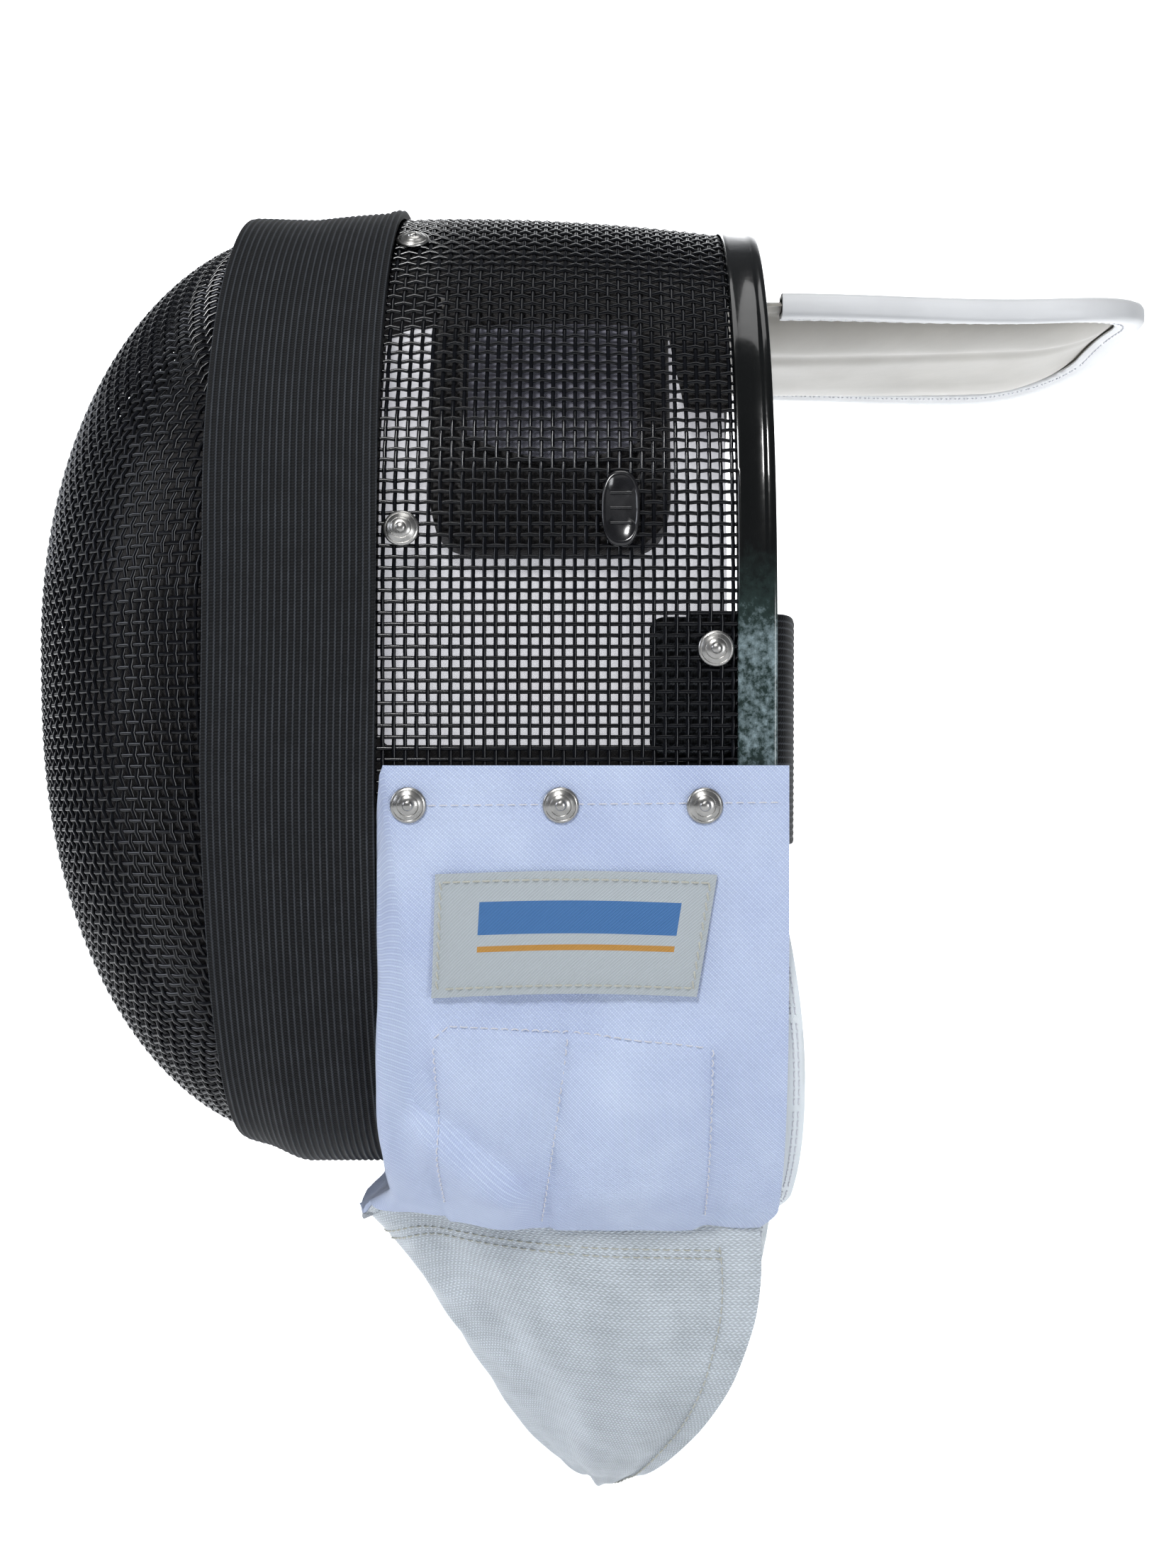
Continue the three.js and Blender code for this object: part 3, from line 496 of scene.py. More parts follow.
def vinylMaterial(name):
    values = vinylFinish[name]
    tree = NodeTree(name)
    patches = tree.noise(22, 4)
    tree.color(tree.ramp(patches, [(0.3, values["low"]), (0.7, values["high"])]))
    tree.rough(tree.rangeOf(tree.noise(60, 3), 0.34, 0.52))
    tree.set(coat=0.15, coatRoughness=0.35)
    soft = tree.height(tree.noise(45, 3), 0.8 * mm, 0.3)
    tree.height(tree.noise(values["grain"], 2), 0.05 * mm, 0.4, soft)
    return tree.material


# Stripes are given by where they start and end, across the label and down it
labelFinish = {
    "ground": (0.49, 0.54, 0.57), "blue": (0.04, 0.17, 0.43), "gold": (0.55, 0.27, 0.04), "pitch": 0.5 * mm,
    "across": (12 * mm, 66 * mm), "blueDown": (8 * mm, 17 * mm), "goldDown": (20 * mm, 21.6 * mm),
}


# Woven satin label: a broad blue stripe with a thin gold line under it, on a pale ground
def labelMaterial(values):
    tree = NodeTree("woven_label_satin")
    node = tree.add("ShaderNodeUVMap", uv_map="cloth")
    parts = tree.add("ShaderNodeSeparateXYZ")
    tree.join(node.outputs[0], parts.inputs[0])
    across, down = parts.outputs[0], parts.outputs[1]
    height = weaveHeight(tree, values["pitch"], 0.6)

    def between(value, low, high):
        above = tree.math("GREATER_THAN", value, low)
        return tree.math("MULTIPLY", above, tree.math("LESS_THAN", value, high))

    shade = tree.rangeOf(height, 0.8, 1.05)
    mixed = None
    for color in ("blue", "gold"):
        inDown, inAcross = between(down, *values[f"{color}Down"]), between(across, *values["across"])
        stripe = tree.math("MULTIPLY", inDown, inAcross)
        paint = tree.add("ShaderNodeMix", data_type="RGBA")
        paint.inputs[6].default_value = (*values["ground"], 1)
        paint.inputs[7].default_value = (*values[color], 1)
        tree.join(stripe, paint.inputs[0])
        if mixed is not None:
            tree.join(mixed, paint.inputs[6])
        mixed = paint.outputs[2]
    dim = tree.add("ShaderNodeVectorMath", operation="SCALE")
    tree.join(mixed, dim.inputs[0])
    tree.join(shade, dim.inputs[3])
    tree.color(dim.outputs[0])
    tree.set(roughness=0.5, sheen=0.3)
    tree.height(height, 0.06 * mm, 0.8)
    return tree.material


rivetFinish = {"low": (0.36, 0.355, 0.34), "high": (0.5, 0.49, 0.47), "rough": (0.2, 0.36)}


def rivetMaterial(values):
    tree = NodeTree("nickel_cap")
    tree.set(metallic=1.0)
    brushed = tree.noise(420, 4)
    tree.color(tree.ramp(brushed, [(0.3, values["low"]), (0.7, values["high"])]))
    tree.rough(tree.rangeOf(brushed, *values["rough"]))
    tree.height(tree.noise(200, 2), 0.03 * mm, 0.3)
    return tree.material


tagFinish = {"low": (0.004, 0.004, 0.005), "high": (0.012, 0.012, 0.014), "rough": (0.12, 0.28), "coat": 0.5}


def tagMaterial(values):
    tree = NodeTree("moulded_tag")
    tree.set(coat=values["coat"], coatRoughness=0.1)
    tree.color(tree.ramp(tree.noise(300, 3), [(0.3, values["low"]), (0.8, values["high"])]))
    tree.rough(tree.rangeOf(tree.noise(150, 3), *values["rough"]))
    return tree.material


threadFinish = {"white_thread": (0.86, 0.87, 0.95), "cream_thread": (0.62, 0.62, 0.54), "pitch": 0.5 * mm}


def threadMaterial(name):
    color = threadFinish[name]
    tree = NodeTree(name)
    u, v = tree.uv(threadFinish["pitch"])
    twist = tree.wave(tree.math("ADD", u, v))
    tree.color(tree.ramp(tree.rangeOf(twist, 0, 1), [(0.1, scaled(color, 0.75)), (0.9, color)]))
    tree.set(roughness=0.6, sheen=0.3)
    tree.height(twist, 0.08 * mm, 0.6)
    return tree.material


wires = wireMaterial(wireFinish)
strip = rimMaterial(rimFinish)
elastic = elasticMaterial(elasticFinish)
twill = clothMaterial("collar_twill")
silver = apronMaterial(apronFinish)
innerCloth = clothMaterial("inner_bib_cloth")
liningCloth = clothMaterial("lining_cloth")
paleClothPaintedShade = clothMaterial("padding_face_painted_shade_cloth")
padCloth = clothMaterial("pad_cloth")
vinyl = vinylMaterial("white_vinyl")
coverVinylPaintedShade = vinylMaterial("tongue_cover_painted_shade_vinyl")
labelSatin = labelMaterial(labelFinish)
nickel = rivetMaterial(rivetFinish)
tagBlack = tagMaterial(tagFinish)
whiteThread = threadMaterial("white_thread")
creamThread = threadMaterial("cream_thread")
print("materials made")


# The form of the wire mesh. Its overall sizes come from the frame, and its crown is a little lower.

sideBox, domeBox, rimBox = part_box("side_mesh"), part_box("front_mesh"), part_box("rim")
form = {
    "upperPower": 2.1, "lowerPower": 3.0, "domePower": 2.03, "widest": -85 * mm, "jointY": -85 * mm,
    "crownRise": 141 * mm, "crownY": -40 * mm, "fallFront": 3 * mm, "fallRear": 7 * mm, "jawLevel": -190 * mm,
    "chinRearY": -45 * mm, "chinDraw": 0.022, "chinEase": 14 * mm, "rimWidth": 10.6 * mm,
    "wall": 2 * mm, "gap": 0.3 * mm, "slack": 0.6 * mm,
}
halfWidth = sideBox[1][0]
domeDepth = form["jointY"] - domeBox[0][1] - form["gap"] / 2
chinDrop = form["widest"] - domeBox[0][2]
rimY = rimBox[1][1]
rimWidth = form["rimWidth"]


def crownAt(y):
    y = np.asarray(y, float)
    front = y < form["crownY"]
    reach = np.where(front, form["jointY"] - form["crownY"], rimY - form["crownY"])
    fall = np.where(front, form["fallFront"], form["fallRear"])
    share = np.minimum(1, (y - form["crownY"]) / reach)
    return form["crownRise"] - fall * share * share


def sectionRadius(angle, y, offset):
    up = np.cos(angle) >= 0
    power = np.where(up, form["upperPower"], form["lowerPower"])
    across = np.abs(np.sin(angle)) / (halfWidth + offset)
    along = np.abs(np.cos(angle)) / (np.where(up, crownAt(y), chinDrop) + offset)
    return (across ** power + along ** power) ** (-1 / power)


def sectionPoint(angle, y, offset=0.0):
    angle, y, offset = np.broadcast_arrays(*(np.asarray(value, float) for value in (angle, y, offset)))
    radius = sectionRadius(angle, y, offset)
    return stack(radius * np.sin(angle), y, form["widest"] + radius * np.cos(angle))


def halfWidthAt(level, y, offset=0.0):
    level = np.asarray(level, float)
    up = level >= form["widest"]
    power = np.where(up, form["upperPower"], form["lowerPower"])
    share = np.abs(level - form["widest"]) / (np.where(up, crownAt(y), chinDrop) + offset)
    return (halfWidth + offset) * np.maximum(0, 1 - share ** power) ** (1 / power)


def angleAt(level, y, offset=0.0):
    return np.arctan2(halfWidthAt(level, y, offset), np.asarray(level, float) - form["widest"])


jawAngle = float(angleAt(form["jawLevel"], rimY))


def rearEdge(angle):
    share = (np.abs(angle) - jawAngle) / (math.pi - jawAngle)
    return lerp(rimY, form["chinRearY"], smooth(share))


def rearSlant(angle):
    step = 0.02
    before, after = sectionPoint(angle - step, 0), sectionPoint(angle + step, 0)
    travel = np.linalg.norm(after - before, axis=-1)
    return np.hypot(1, (rearEdge(angle + step) - rearEdge(angle - step)) / travel)


# The face's lower half lies a little inside the side panels, from where they meet
def chinShrink(angle, y):
    low = ((1 - np.cos(angle)) / 2) ** 2
    return 1 - form["chinDraw"] * low * smooth((form["jointY"] - y) / form["chinEase"])


# How far a point is from the mesh's middle surface: below 0 inside, above 0 outside
def netLevel(points):
    x, y, z = points[..., 0], points[..., 1], points[..., 2] - form["widest"]
    angle = np.arctan2(x, z)
    yOnSide = np.maximum(y, form["jointY"])
    radius = sectionRadius(angle, yOnSide, -form["wall"] / 2) * chinShrink(angle, y)
    depth = np.maximum(0, form["jointY"] - y) / (domeDepth - form["wall"] / 2)
    return (np.hypot(x, z) / radius) ** form["domePower"] + depth ** form["domePower"] - 1


# The way out of the mesh at a point, and the slope of netLevel there
def netNormal(points):
    step = 0.05 * mm
    slope = []
    for axis in range(3):
        shift = np.zeros(3)
        shift[axis] = step
        slope.append((netLevel(points + shift) - netLevel(points - shift)) / (2 * step))
    slope = np.stack(slope, axis=-1)
    return slope / np.linalg.norm(slope, axis=-1, keepdims=True), slope


# Woven wire. The dome's net starts from an upright and a level wire that cross at the foremost point,
# and each further crossing lies one pitch from its two neighbours, as in a net pulled over a form.

net = {
    "pitch": 3.1 * mm, "radius": 0.57 * mm, "crimp": 0.48 * mm, "sides": 6, "levelSteps": 54, "upSteps": 68,
    "downSteps": 74, "sideStart": 0.8 * mm, "sideEnd": 2 * mm, "cutBack": 1.6 * mm,
}


def ontoNet(points, rounds=4):
    for _ in range(rounds):
        _, slope = netNormal(points)
        level = netLevel(points)[..., None]
        points = points - slope * level / np.sum(slope * slope, axis=-1, keepdims=True)
    return points


def baseWire(direction, steps):
    line = [np.array([0.0, form["jointY"] - domeDepth + form["wall"] / 2, form["widest"]])]
    heading = np.array(direction, float)
    for _ in range(steps):
        ahead = line[-1] + heading * net["pitch"]
        for _ in range(4):
            ahead = ontoNet(ahead, 2)
            gone = ahead - line[-1]
            ahead = line[-1] + gone * net["pitch"] / np.linalg.norm(gone)
        heading = (ahead - line[-1]) / np.linalg.norm(ahead - line[-1])
        line.append(ahead)
    return np.array(line)


def netQuadrant(levelSteps, uprightSteps, upward):
    grid = np.full((levelSteps + 1, uprightSteps + 1, 3), np.nan)
    grid[:, 0] = baseWire((1, 0, 0), levelSteps)
    grid[0, :] = baseWire((0, 0, 1 if upward else -1), uprightSteps)
    pitch = net["pitch"]
    for diagonal in range(2, levelSteps + uprightSteps + 1):
        i = np.arange(max(1, diagonal - uprightSteps), min(levelSteps, diagonal - 1) + 1)
        if not len(i):
            continue
        j = diagonal - i
        left, below, corner = grid[i - 1, j], grid[i, j - 1], grid[i - 1, j - 1]
        guess = left + below - corner
        for _ in range(8):
            fromLeft, fromBelow = guess - left, guess - below
            _, slope = netNormal(guess)
            error = np.stack([
                np.sum(fromLeft ** 2, axis=1) - pitch ** 2,
                np.sum(fromBelow ** 2, axis=1) - pitch ** 2,
                netLevel(guess),
            ], axis=1)
            system = np.stack([2 * fromLeft, 2 * fromBelow, slope], axis=1)
            whole = np.isfinite(system).all(axis=(1, 2))
            held = whole & (np.abs(np.linalg.det(np.nan_to_num(system))) > 1e-9)
            move = np.zeros_like(guess)
            if held.any():
                move[held] = np.linalg.solve(system[held], error[held][..., None])[..., 0]
            length = np.linalg.norm(move, axis=1, keepdims=True)
            guess = guess - move * np.minimum(1, 0.6 * pitch / np.maximum(length, 1e-9))
        bad = np.abs(np.linalg.norm(guess - left, axis=1) - pitch) > 0.1 * pitch
        bad |= np.linalg.norm(guess - corner, axis=1) < 0.25 * pitch
        guess[bad] = np.nan
        grid[i, j] = guess
    return grid


def domeNet():
    upper = netQuadrant(net["levelSteps"], net["upSteps"], True)
    lower = netQuadrant(net["levelSteps"], net["downSteps"], False)
    right = np.concatenate([lower[:, :0:-1], upper], axis=1)
    return np.concatenate([mirrorX(right[:0:-1], -1), right], axis=0)


# Splits a row of crossings where the net ends or goes behind the given edge
def runsOf(row, parity, edgeY):
    keep = np.isfinite(row).all(axis=1)
    keep &= np.nan_to_num(row[:, 1], nan=1.0) < edgeY
    runs, start = [], None
    for k in range(len(row) + 1):
        if k < len(row) and keep[k]:
            start = k if start is None else start
        elif start is not None:
            if k - start >= 3:
                runs.append((row[start:k], parity[start:k]))
            start = None
    return runs


def crimped(points, parity, flip):
    normal, _ = netNormal(points)
    lift = np.where(parity % 2 == 0, 1.0, -1.0) * (net["crimp"] * flip)
    return points + normal * lift[:, None], normal


def makeWires(name, node, rows, edgeY, flip):
    lines, ups = [], []
    for row, sign in rows:
        for run, runSign in runsOf(row, sign, edgeY):
            line, normal = crimped(run, runSign, flip)
            lines.append(line)
            ups.append(normal)
    piece = bars(name, lines, ups, net["radius"], net["sides"], wires)
    finishPiece(piece, "mesh_wire", node)


def makeDomeWires():
    grid = domeNet()
    parity = np.add.outer(np.arange(grid.shape[0]), np.arange(grid.shape[1]))
    edgeY = form["jointY"] - form["gap"]
    makeWires("dome_wires_level", "front_mesh", zip(np.swapaxes(grid, 0, 1), parity.T), edgeY, 1.0)
    makeWires("dome_wires_upright", "front_mesh", zip(grid, parity), edgeY, -1.0)


# The side panel's wires run round the head and along it. Both keep the net's pitch.
def makeSideWires():
    middle = -form["wall"] / 2
    fine = np.linspace(-math.pi, math.pi, 4001)
    line = sectionPoint(fine, form["crownY"], middle)
    length = np.concatenate([[0], np.cumsum(np.linalg.norm(np.diff(line, axis=0), axis=1))])
    count = int(round(length[-1] / net["pitch"] / 2)) * 2
    angles = np.interp(np.arange(count) * length[-1] / count, length, fine)
    ys = np.arange(form["jointY"] + net["sideStart"], rimY - net["sideEnd"], net["pitch"])
    grid = sectionPoint(angles[:, None], ys[None, :], middle)
    parity = np.add.outer(np.arange(count), np.arange(len(ys)))
    inside = ys[None, :] < (rearEdge(angles) - net["cutBack"] * rearSlant(angles))[:, None]
    grid = np.where(inside[..., None], grid, np.nan)
    makeWires("side_wires_along", "side_mesh", zip(grid, parity), rimY, 1.0)
    around = []
    for row, sign in zip(np.swapaxes(grid, 0, 1), parity.T):
        if np.isfinite(row).all():    # a wire that goes the whole way round ends where it starts
            row, sign = np.concatenate([row, row[:1]]), np.concatenate([sign, sign[:1]])
        around.append((row, sign))
    makeWires("side_wires_round", "side_mesh", around, rimY, -1.0)


makeDomeWires()
makeSideWires()
print("wire mesh woven")


# Rim: a folded strip with a thin bright front edge and a rolled back edge

rimShape = {"sheet": 1.2 * mm, "roll": 0.7 * mm, "rollRadius": 1.35 * mm, "steps": 220}


def makeRim(shape):
    angles = np.linspace(-math.pi, math.pi, shape["steps"] + 1)[:-1]
    sheet = shape["sheet"]
    inside = form["wall"] / 2 + form["gap"]
    outside = inside + sheet
    outer = [(inside, rimWidth), (inside + 0.4 * sheet, rimWidth + 0.1 * mm), (outside, rimWidth - 0.3 * mm),
             (outside + 0.12 * mm, rimWidth - 0.9 * mm), (outside - 0.05 * mm, rimWidth - 1.6 * mm),
             (outside, 0.5 * rimWidth), (outside, 3.4 * mm), (outside + 0.15 * mm, 2.9 * mm)]
    radius = shape["rollRadius"]
    rolled = [(outside + shape["roll"] * (0.4 + 0.6 * math.cos(t)) - 0.1 * mm, radius + radius * math.sin(t))
              for t in np.linspace(math.pi * 0.4, -math.pi / 2, 7)]
    half = outer + rolled
    full = half + [(-a, b) for a, b in reversed(half)] + [(-inside, sheet), (inside, sheet)]
    offsets = np.array([a for a, _ in full])
    forward = np.array([b for _, b in full])
    slant = rearSlant(angles)
    y = rearEdge(angles)[:, None] - forward[None, :] * slant[:, None]
    rings = sectionPoint(angles[:, None], y, offsets[None, :] - form["wall"] / 2)
    piece = loft("rim_strip", rings, True, strip, 50)
    finishPiece(piece, "rim_metal", "rim")


makeRim(rimShape)
print("rim folded")


# Elastic band: ribs along its length and a thicker rear edge

bandShape = {
    "thickness": 2 * mm, "edge": 0.7 * mm, "edgeWidth": 4 * mm, "rib": 1.86 * mm, "ribHeight": 0.45 * mm,
    "wave": 0.5 * mm, "wander": 0.45 * mm, "steps": 240, "stepsPerRib": 5, "flatLength": 0.83,
}


def bandPoint(angle, y, offset):
    onSide = np.maximum(y, form["jointY"])
    points = sectionPoint(angle, onSide, offset)
    depth = np.maximum(0, form["jointY"] - y) / domeDepth
    hug = (1 - np.cos(angle)) / 2
    shrink = 1 - hug * (1 - (1 - depth ** form["domePower"]) ** (1 / form["domePower"]))
    shrink = shrink * chinShrink(angle, y)
    points[..., 0] *= shrink
    points[..., 1] = y
    points[..., 2] = form["widest"] + (points[..., 2] - form["widest"]) * shrink
    return points


def makeBand(shape):
    low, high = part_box("elastic_band")
    frontY, rearY = low[1], high[1]
    angles = np.linspace(-math.pi, math.pi, shape["steps"] + 1)[:-1]
    count = int(round((rearY - frontY) / shape["rib"]))
    ys = np.linspace(frontY, rearY, count * shape["stepsPerRib"] + 1)
    phase = (ys - frontY) / (rearY - frontY) * count * 2 * math.pi
    edge = smooth((ys - (rearY - shape["edgeWidth"])) / (0.6 * mm))
    ridges = (0.5 + 0.5 * np.cos(phase)) ** 2
    profile = shape["thickness"] - shape["ribHeight"] * (1 - ridges) + shape["edge"] * edge
    profile[[0, -1]] -= 0.5 * mm
    wavy = shape["wave"] * np.sin(7 * angles)[:, None] * bump(ys, frontY, 12 * mm)[None, :]
    yOuter = ys[None, :] + shape["wander"] * np.sin(5 * angles + 0.7)[:, None]
    yOuter = np.clip(yOuter, frontY - 0.4 * mm, rearY + 0.2 * mm)
    outer = bandPoint(angles[:, None], yOuter, form["gap"] + profile[None, :] + np.maximum(wavy, 0))
    innerYs = np.linspace(frontY, rearY, 9)
    allYs = innerYs[None, :] + 0 * angles[:, None]
    inner = bandPoint(angles[:, None], allYs, form["gap"] + 0 * innerYs[None, :])
    around = (ys - frontY) / (rearY - frontY) * count * shape["rib"]
    across = np.concatenate([around, around[-1] + 0.5 * shape["rib"] + (rearY - innerYs[::-1]), [0]])
    piece = wall("ribbed_band", outer, inner, elastic, True, 75, across)
    finishPiece(piece, "elastic", "elastic_band")


makeBand(bandShape)
print("elastic band ribbed")


# Bib surfaces, from the left rear edge (u 0) round the front to the right rear edge (u 1). They have the
# solids' form, with the apron and the collar's rear edge drawn in a little further down.

bib = {
    "cloth": 1.5 * mm, "topLevel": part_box("bib_collar")[1][2], "rearY": 54.5 * mm, "halfWidth": 66 * mm,
    "frontY": -74 * mm, "hemLevel": -255 * mm, "frontHem": -267 * mm, "hemRearY": 50 * mm, "hang": 5.0,
    "frontHang": 2.0, "power": 2.6, "tuck": 9 * mm, "tipY": 4.5 * mm, "tipLevel": -355 * mm, "corner": 0.5,
    "standStart": -7.4 * mm,
}
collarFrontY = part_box("elastic_band")[1][1] + form["gap"] + bib["cloth"]

apronSections = {
    "drop": [0.00, 0.20, 0.38, 0.57, 0.76, 0.90, 0.97, 1.00],
    "front": [0.00, 0.22, 0.36, 0.52, 0.67, 0.80, 0.90, 0.96],
    "rear": [0.00, -0.01, 0.09, 0.25, 0.51, 0.77, 0.90, 0.96],
    "half": [1.00, 0.99, 0.95, 0.86, 0.69, 0.45, 0.25, 0.06],
}


def standOff(y):
    start = form["gap"] + form["slack"]
    overRim = 2 * form["gap"] + form["slack"] + rimShape["roll"] + rimShape["sheet"]
    return lerp(start, overRim, smooth((y - bib["standStart"]) / (rimY - rimWidth - bib["standStart"])))


def bibPlan(y):
    share = np.clip((bib["rearY"] - y) / (bib["rearY"] - bib["frontY"]), 0, 1)
    return bib["halfWidth"] * (1 - share ** bib["power"]) ** (1 / bib["power"])


def collarTopEdge(along):
    panel = np.clip(along / bib["corner"], 0, 1)
    y = lerp(bib["rearY"], collarFrontY, panel)
    side = stack(halfWidthAt(bib["topLevel"], y, standOff(y)), y, bib["topLevel"])
    onMesh = form["gap"] + 2 * form["slack"]
    start = float(angleAt(bib["topLevel"], collarFrontY, onMesh))
    angle = lerp(start, math.pi, np.clip((along - bib["corner"]) / (1 - bib["corner"]), 0, 1))
    front = sectionPoint(angle, collarFrontY, onMesh)
    return np.where((along <= bib["corner"])[..., None], side, front)


def collarHemEdge(along):
    turnY = lerp(bib["rearY"], bib["frontY"], 0.8)
    beyond = (along - bib["corner"]) / (1 - bib["corner"])
    y = lerp(bib["hemRearY"], turnY, np.clip(along / bib["corner"], 0, 1))
    side = stack(bibPlan(y), y, bib["hemLevel"])
    x = bibPlan(turnY) * np.clip(1 - beyond, 0, 1)
    share = (1 - (x / bib["halfWidth"]) ** bib["power"]) ** (1 / bib["power"])
    level = lerp(bib["hemLevel"], bib["frontHem"], smooth(beyond))
    front = stack(x, lerp(bib["rearY"], bib["frontY"], share), level)
    return np.where((beyond <= 0)[..., None], side, front)


def halfOf(u):
    return 1 - np.abs(2 * u - 1), np.where(u <= 0.5, 1.0, -1.0)


def collarSurface(u, v):
    u, v = np.broadcast_arrays(np.asarray(u, float), np.asarray(v, float))
    along, side = halfOf(u)
    top, hem = collarTopEdge(along), collarHemEdge(along)
    bulk = form["gap"] + bandShape["thickness"] + bandShape["edge"] + bib["cloth"]
    foot = (top[..., 2] - (form["widest"] - chinDrop - bulk)) / (top[..., 2] - hem[..., 2])
    forward = np.maximum(0, (v - foot) / (1 - foot)) ** 1.5
    easeY = np.where(hem[..., 1] > top[..., 1], 1 - (1 - v) ** 2, forward)
    beyond = np.maximum(0, along - bib["corner"]) / (1 - bib["corner"])
    hang = lerp(bib["hang"], bib["frontHang"], np.minimum(1, 2.5 * beyond))
    ease = stack(v ** hang, easeY, v)
    points = lerp(top, hem, ease)
    points[..., 0] *= side
    return points


# Between the table's rows the outline is rounded, not straight
def apronRow(key, drop):
    reach = np.minimum(0.1, np.minimum(drop, 1 - drop))
    spots = [drop + reach * step for step in (-1, -0.6, -0.2, 0.2, 0.6, 1)]
    return np.mean([np.interp(spot, apronSections["drop"], apronSections[key]) for spot in spots], axis=0)


def apronSurface(u, v):
    u, v = np.broadcast_arrays(np.asarray(u, float), np.asarray(v, float))
    along, side = halfOf(u)
    drop = np.sin(v * math.pi / 2)
    row = {key: apronRow(key, drop) for key in ("front", "rear", "half")}
    hem = collarHemEdge(along)
    front = lerp(bib["frontY"], bib["tipY"], row["front"])
    rear = lerp(bib["rearY"], bib["tipY"], row["rear"])
    y = lerp(rear, front, (bib["rearY"] - hem[..., 1]) / (bib["rearY"] - bib["frontY"]))
    return stack(side * hem[..., 0] * row["half"], y, lerp(hem[..., 2], bib["tipLevel"], drop))


def offsetBy(surface, u, v, offset):
    step = 0.004
    uLow, uHigh = np.clip(u - step, 0, 1), np.clip(u + step, 0, 1)
    vLow, vHigh = np.clip(v - step, 0, 1), np.clip(v + step, 0, 1)
    alongU = surface(uHigh, v) - surface(uLow, v)
    alongV = surface(u, vHigh) - surface(u, vLow)
    normal = np.cross(alongU, alongV)
    normal /= np.maximum(np.linalg.norm(normal, axis=-1, keepdims=True), 1e-12)
    return surface(u, v) + normal * np.asarray(offset)[..., None]


# The solids' folds. Each row: place along the cloth, place down it, width and depth.
folds = {
    "width": 0.12, "depth": 2.2 * mm, "reach": 0.45,
    "collar": [
        (0.62, 0.75, 0.8, 0.8), (0.78, 0.80, 0.6, -0.9), (0.90, 0.70, 0.6, 0.7), (0.14, 0.75, 1.0, -0.7),
    ],
    "apron": [
        (0.50, 0.25, 1.2, -1.2), (0.70, 0.30, 0.8, 1.0), (0.84, 0.20, 0.7, -1.1), (0.28, 0.60, 1.3, 0.9),
    ],
}


def foldLift(cloth, along, down):
    lift = 0
    for place, level, width, depth in folds[cloth]:
        across = bump(along, place, width * folds["width"])
        lift = lift + depth * folds["depth"] * across * bump(down, level, folds["reach"])
    return lift


def collarPoint(u, v, offset):
    along, _ = halfOf(u)
    lift = foldLift("collar", along, v) * smooth(v * 3 - 0.9)
    return offsetBy(collarSurface, u, v, offset + lift)


def collarU(y, side=1):
    along = bib["corner"] * (bib["rearY"] - y) / (bib["rearY"] - collarFrontY)
    return along / 2 if side > 0 else 1 - along / 2


def collarV(level):
    return (level - bib["topLevel"]) / (bib["hemLevel"] - bib["topLevel"])


# Collar cloth: a sewn patch that stands out, with a seam down it and the cloth puffed on both sides of the
# seam, a diagonal fold at the lower front corner, and creases

collarShape = {
    "columns": 200, "rows": 76, "crease": 0.35 * mm, "topSeam": 0.35 * mm, "topSeamDrop": 9 * mm,
    "patchLift": 1.6 * mm, "patchFrontY": -49 * mm, "patchRearY": 35 * mm, "patchTop": -191 * mm,
    "patchSlope": 0.07, "patchSoft": 0.9 * mm,
    "seam": 1.2 * mm, "seamWidth": 1.1 * mm, "seamTopY": -6 * mm, "seamFootY": -15 * mm,
    "puff": 2.6 * mm, "puffFrontY": -50 * mm, "puffRearY": 37 * mm,
    "valley": 1.6 * mm, "valleyLevel": -187 * mm, "valleyHeight": 6 * mm, "valleyY": -8 * mm,
    "valleyReach": 34 * mm,
    "fold": 6.5 * mm, "foldY": -49 * mm, "foldLevel": -222 * mm, "foldSlope": 0.68, "foldSoft": 9 * mm,
    "foldReach": 15 * mm, "flat": (0.3, 0.133),
}


def patchShare(along, y, level):
    shape = collarShape
    soft = shape["patchSoft"]
    top = shape["patchTop"] - shape["patchSlope"] * (y - shape["patchFrontY"])
    inside = smooth((y - shape["patchFrontY"]) / soft) * smooth((shape["patchRearY"] - y) / soft)
    return inside * smooth((top - level) / soft) * (along < bib["corner"] + 0.02)


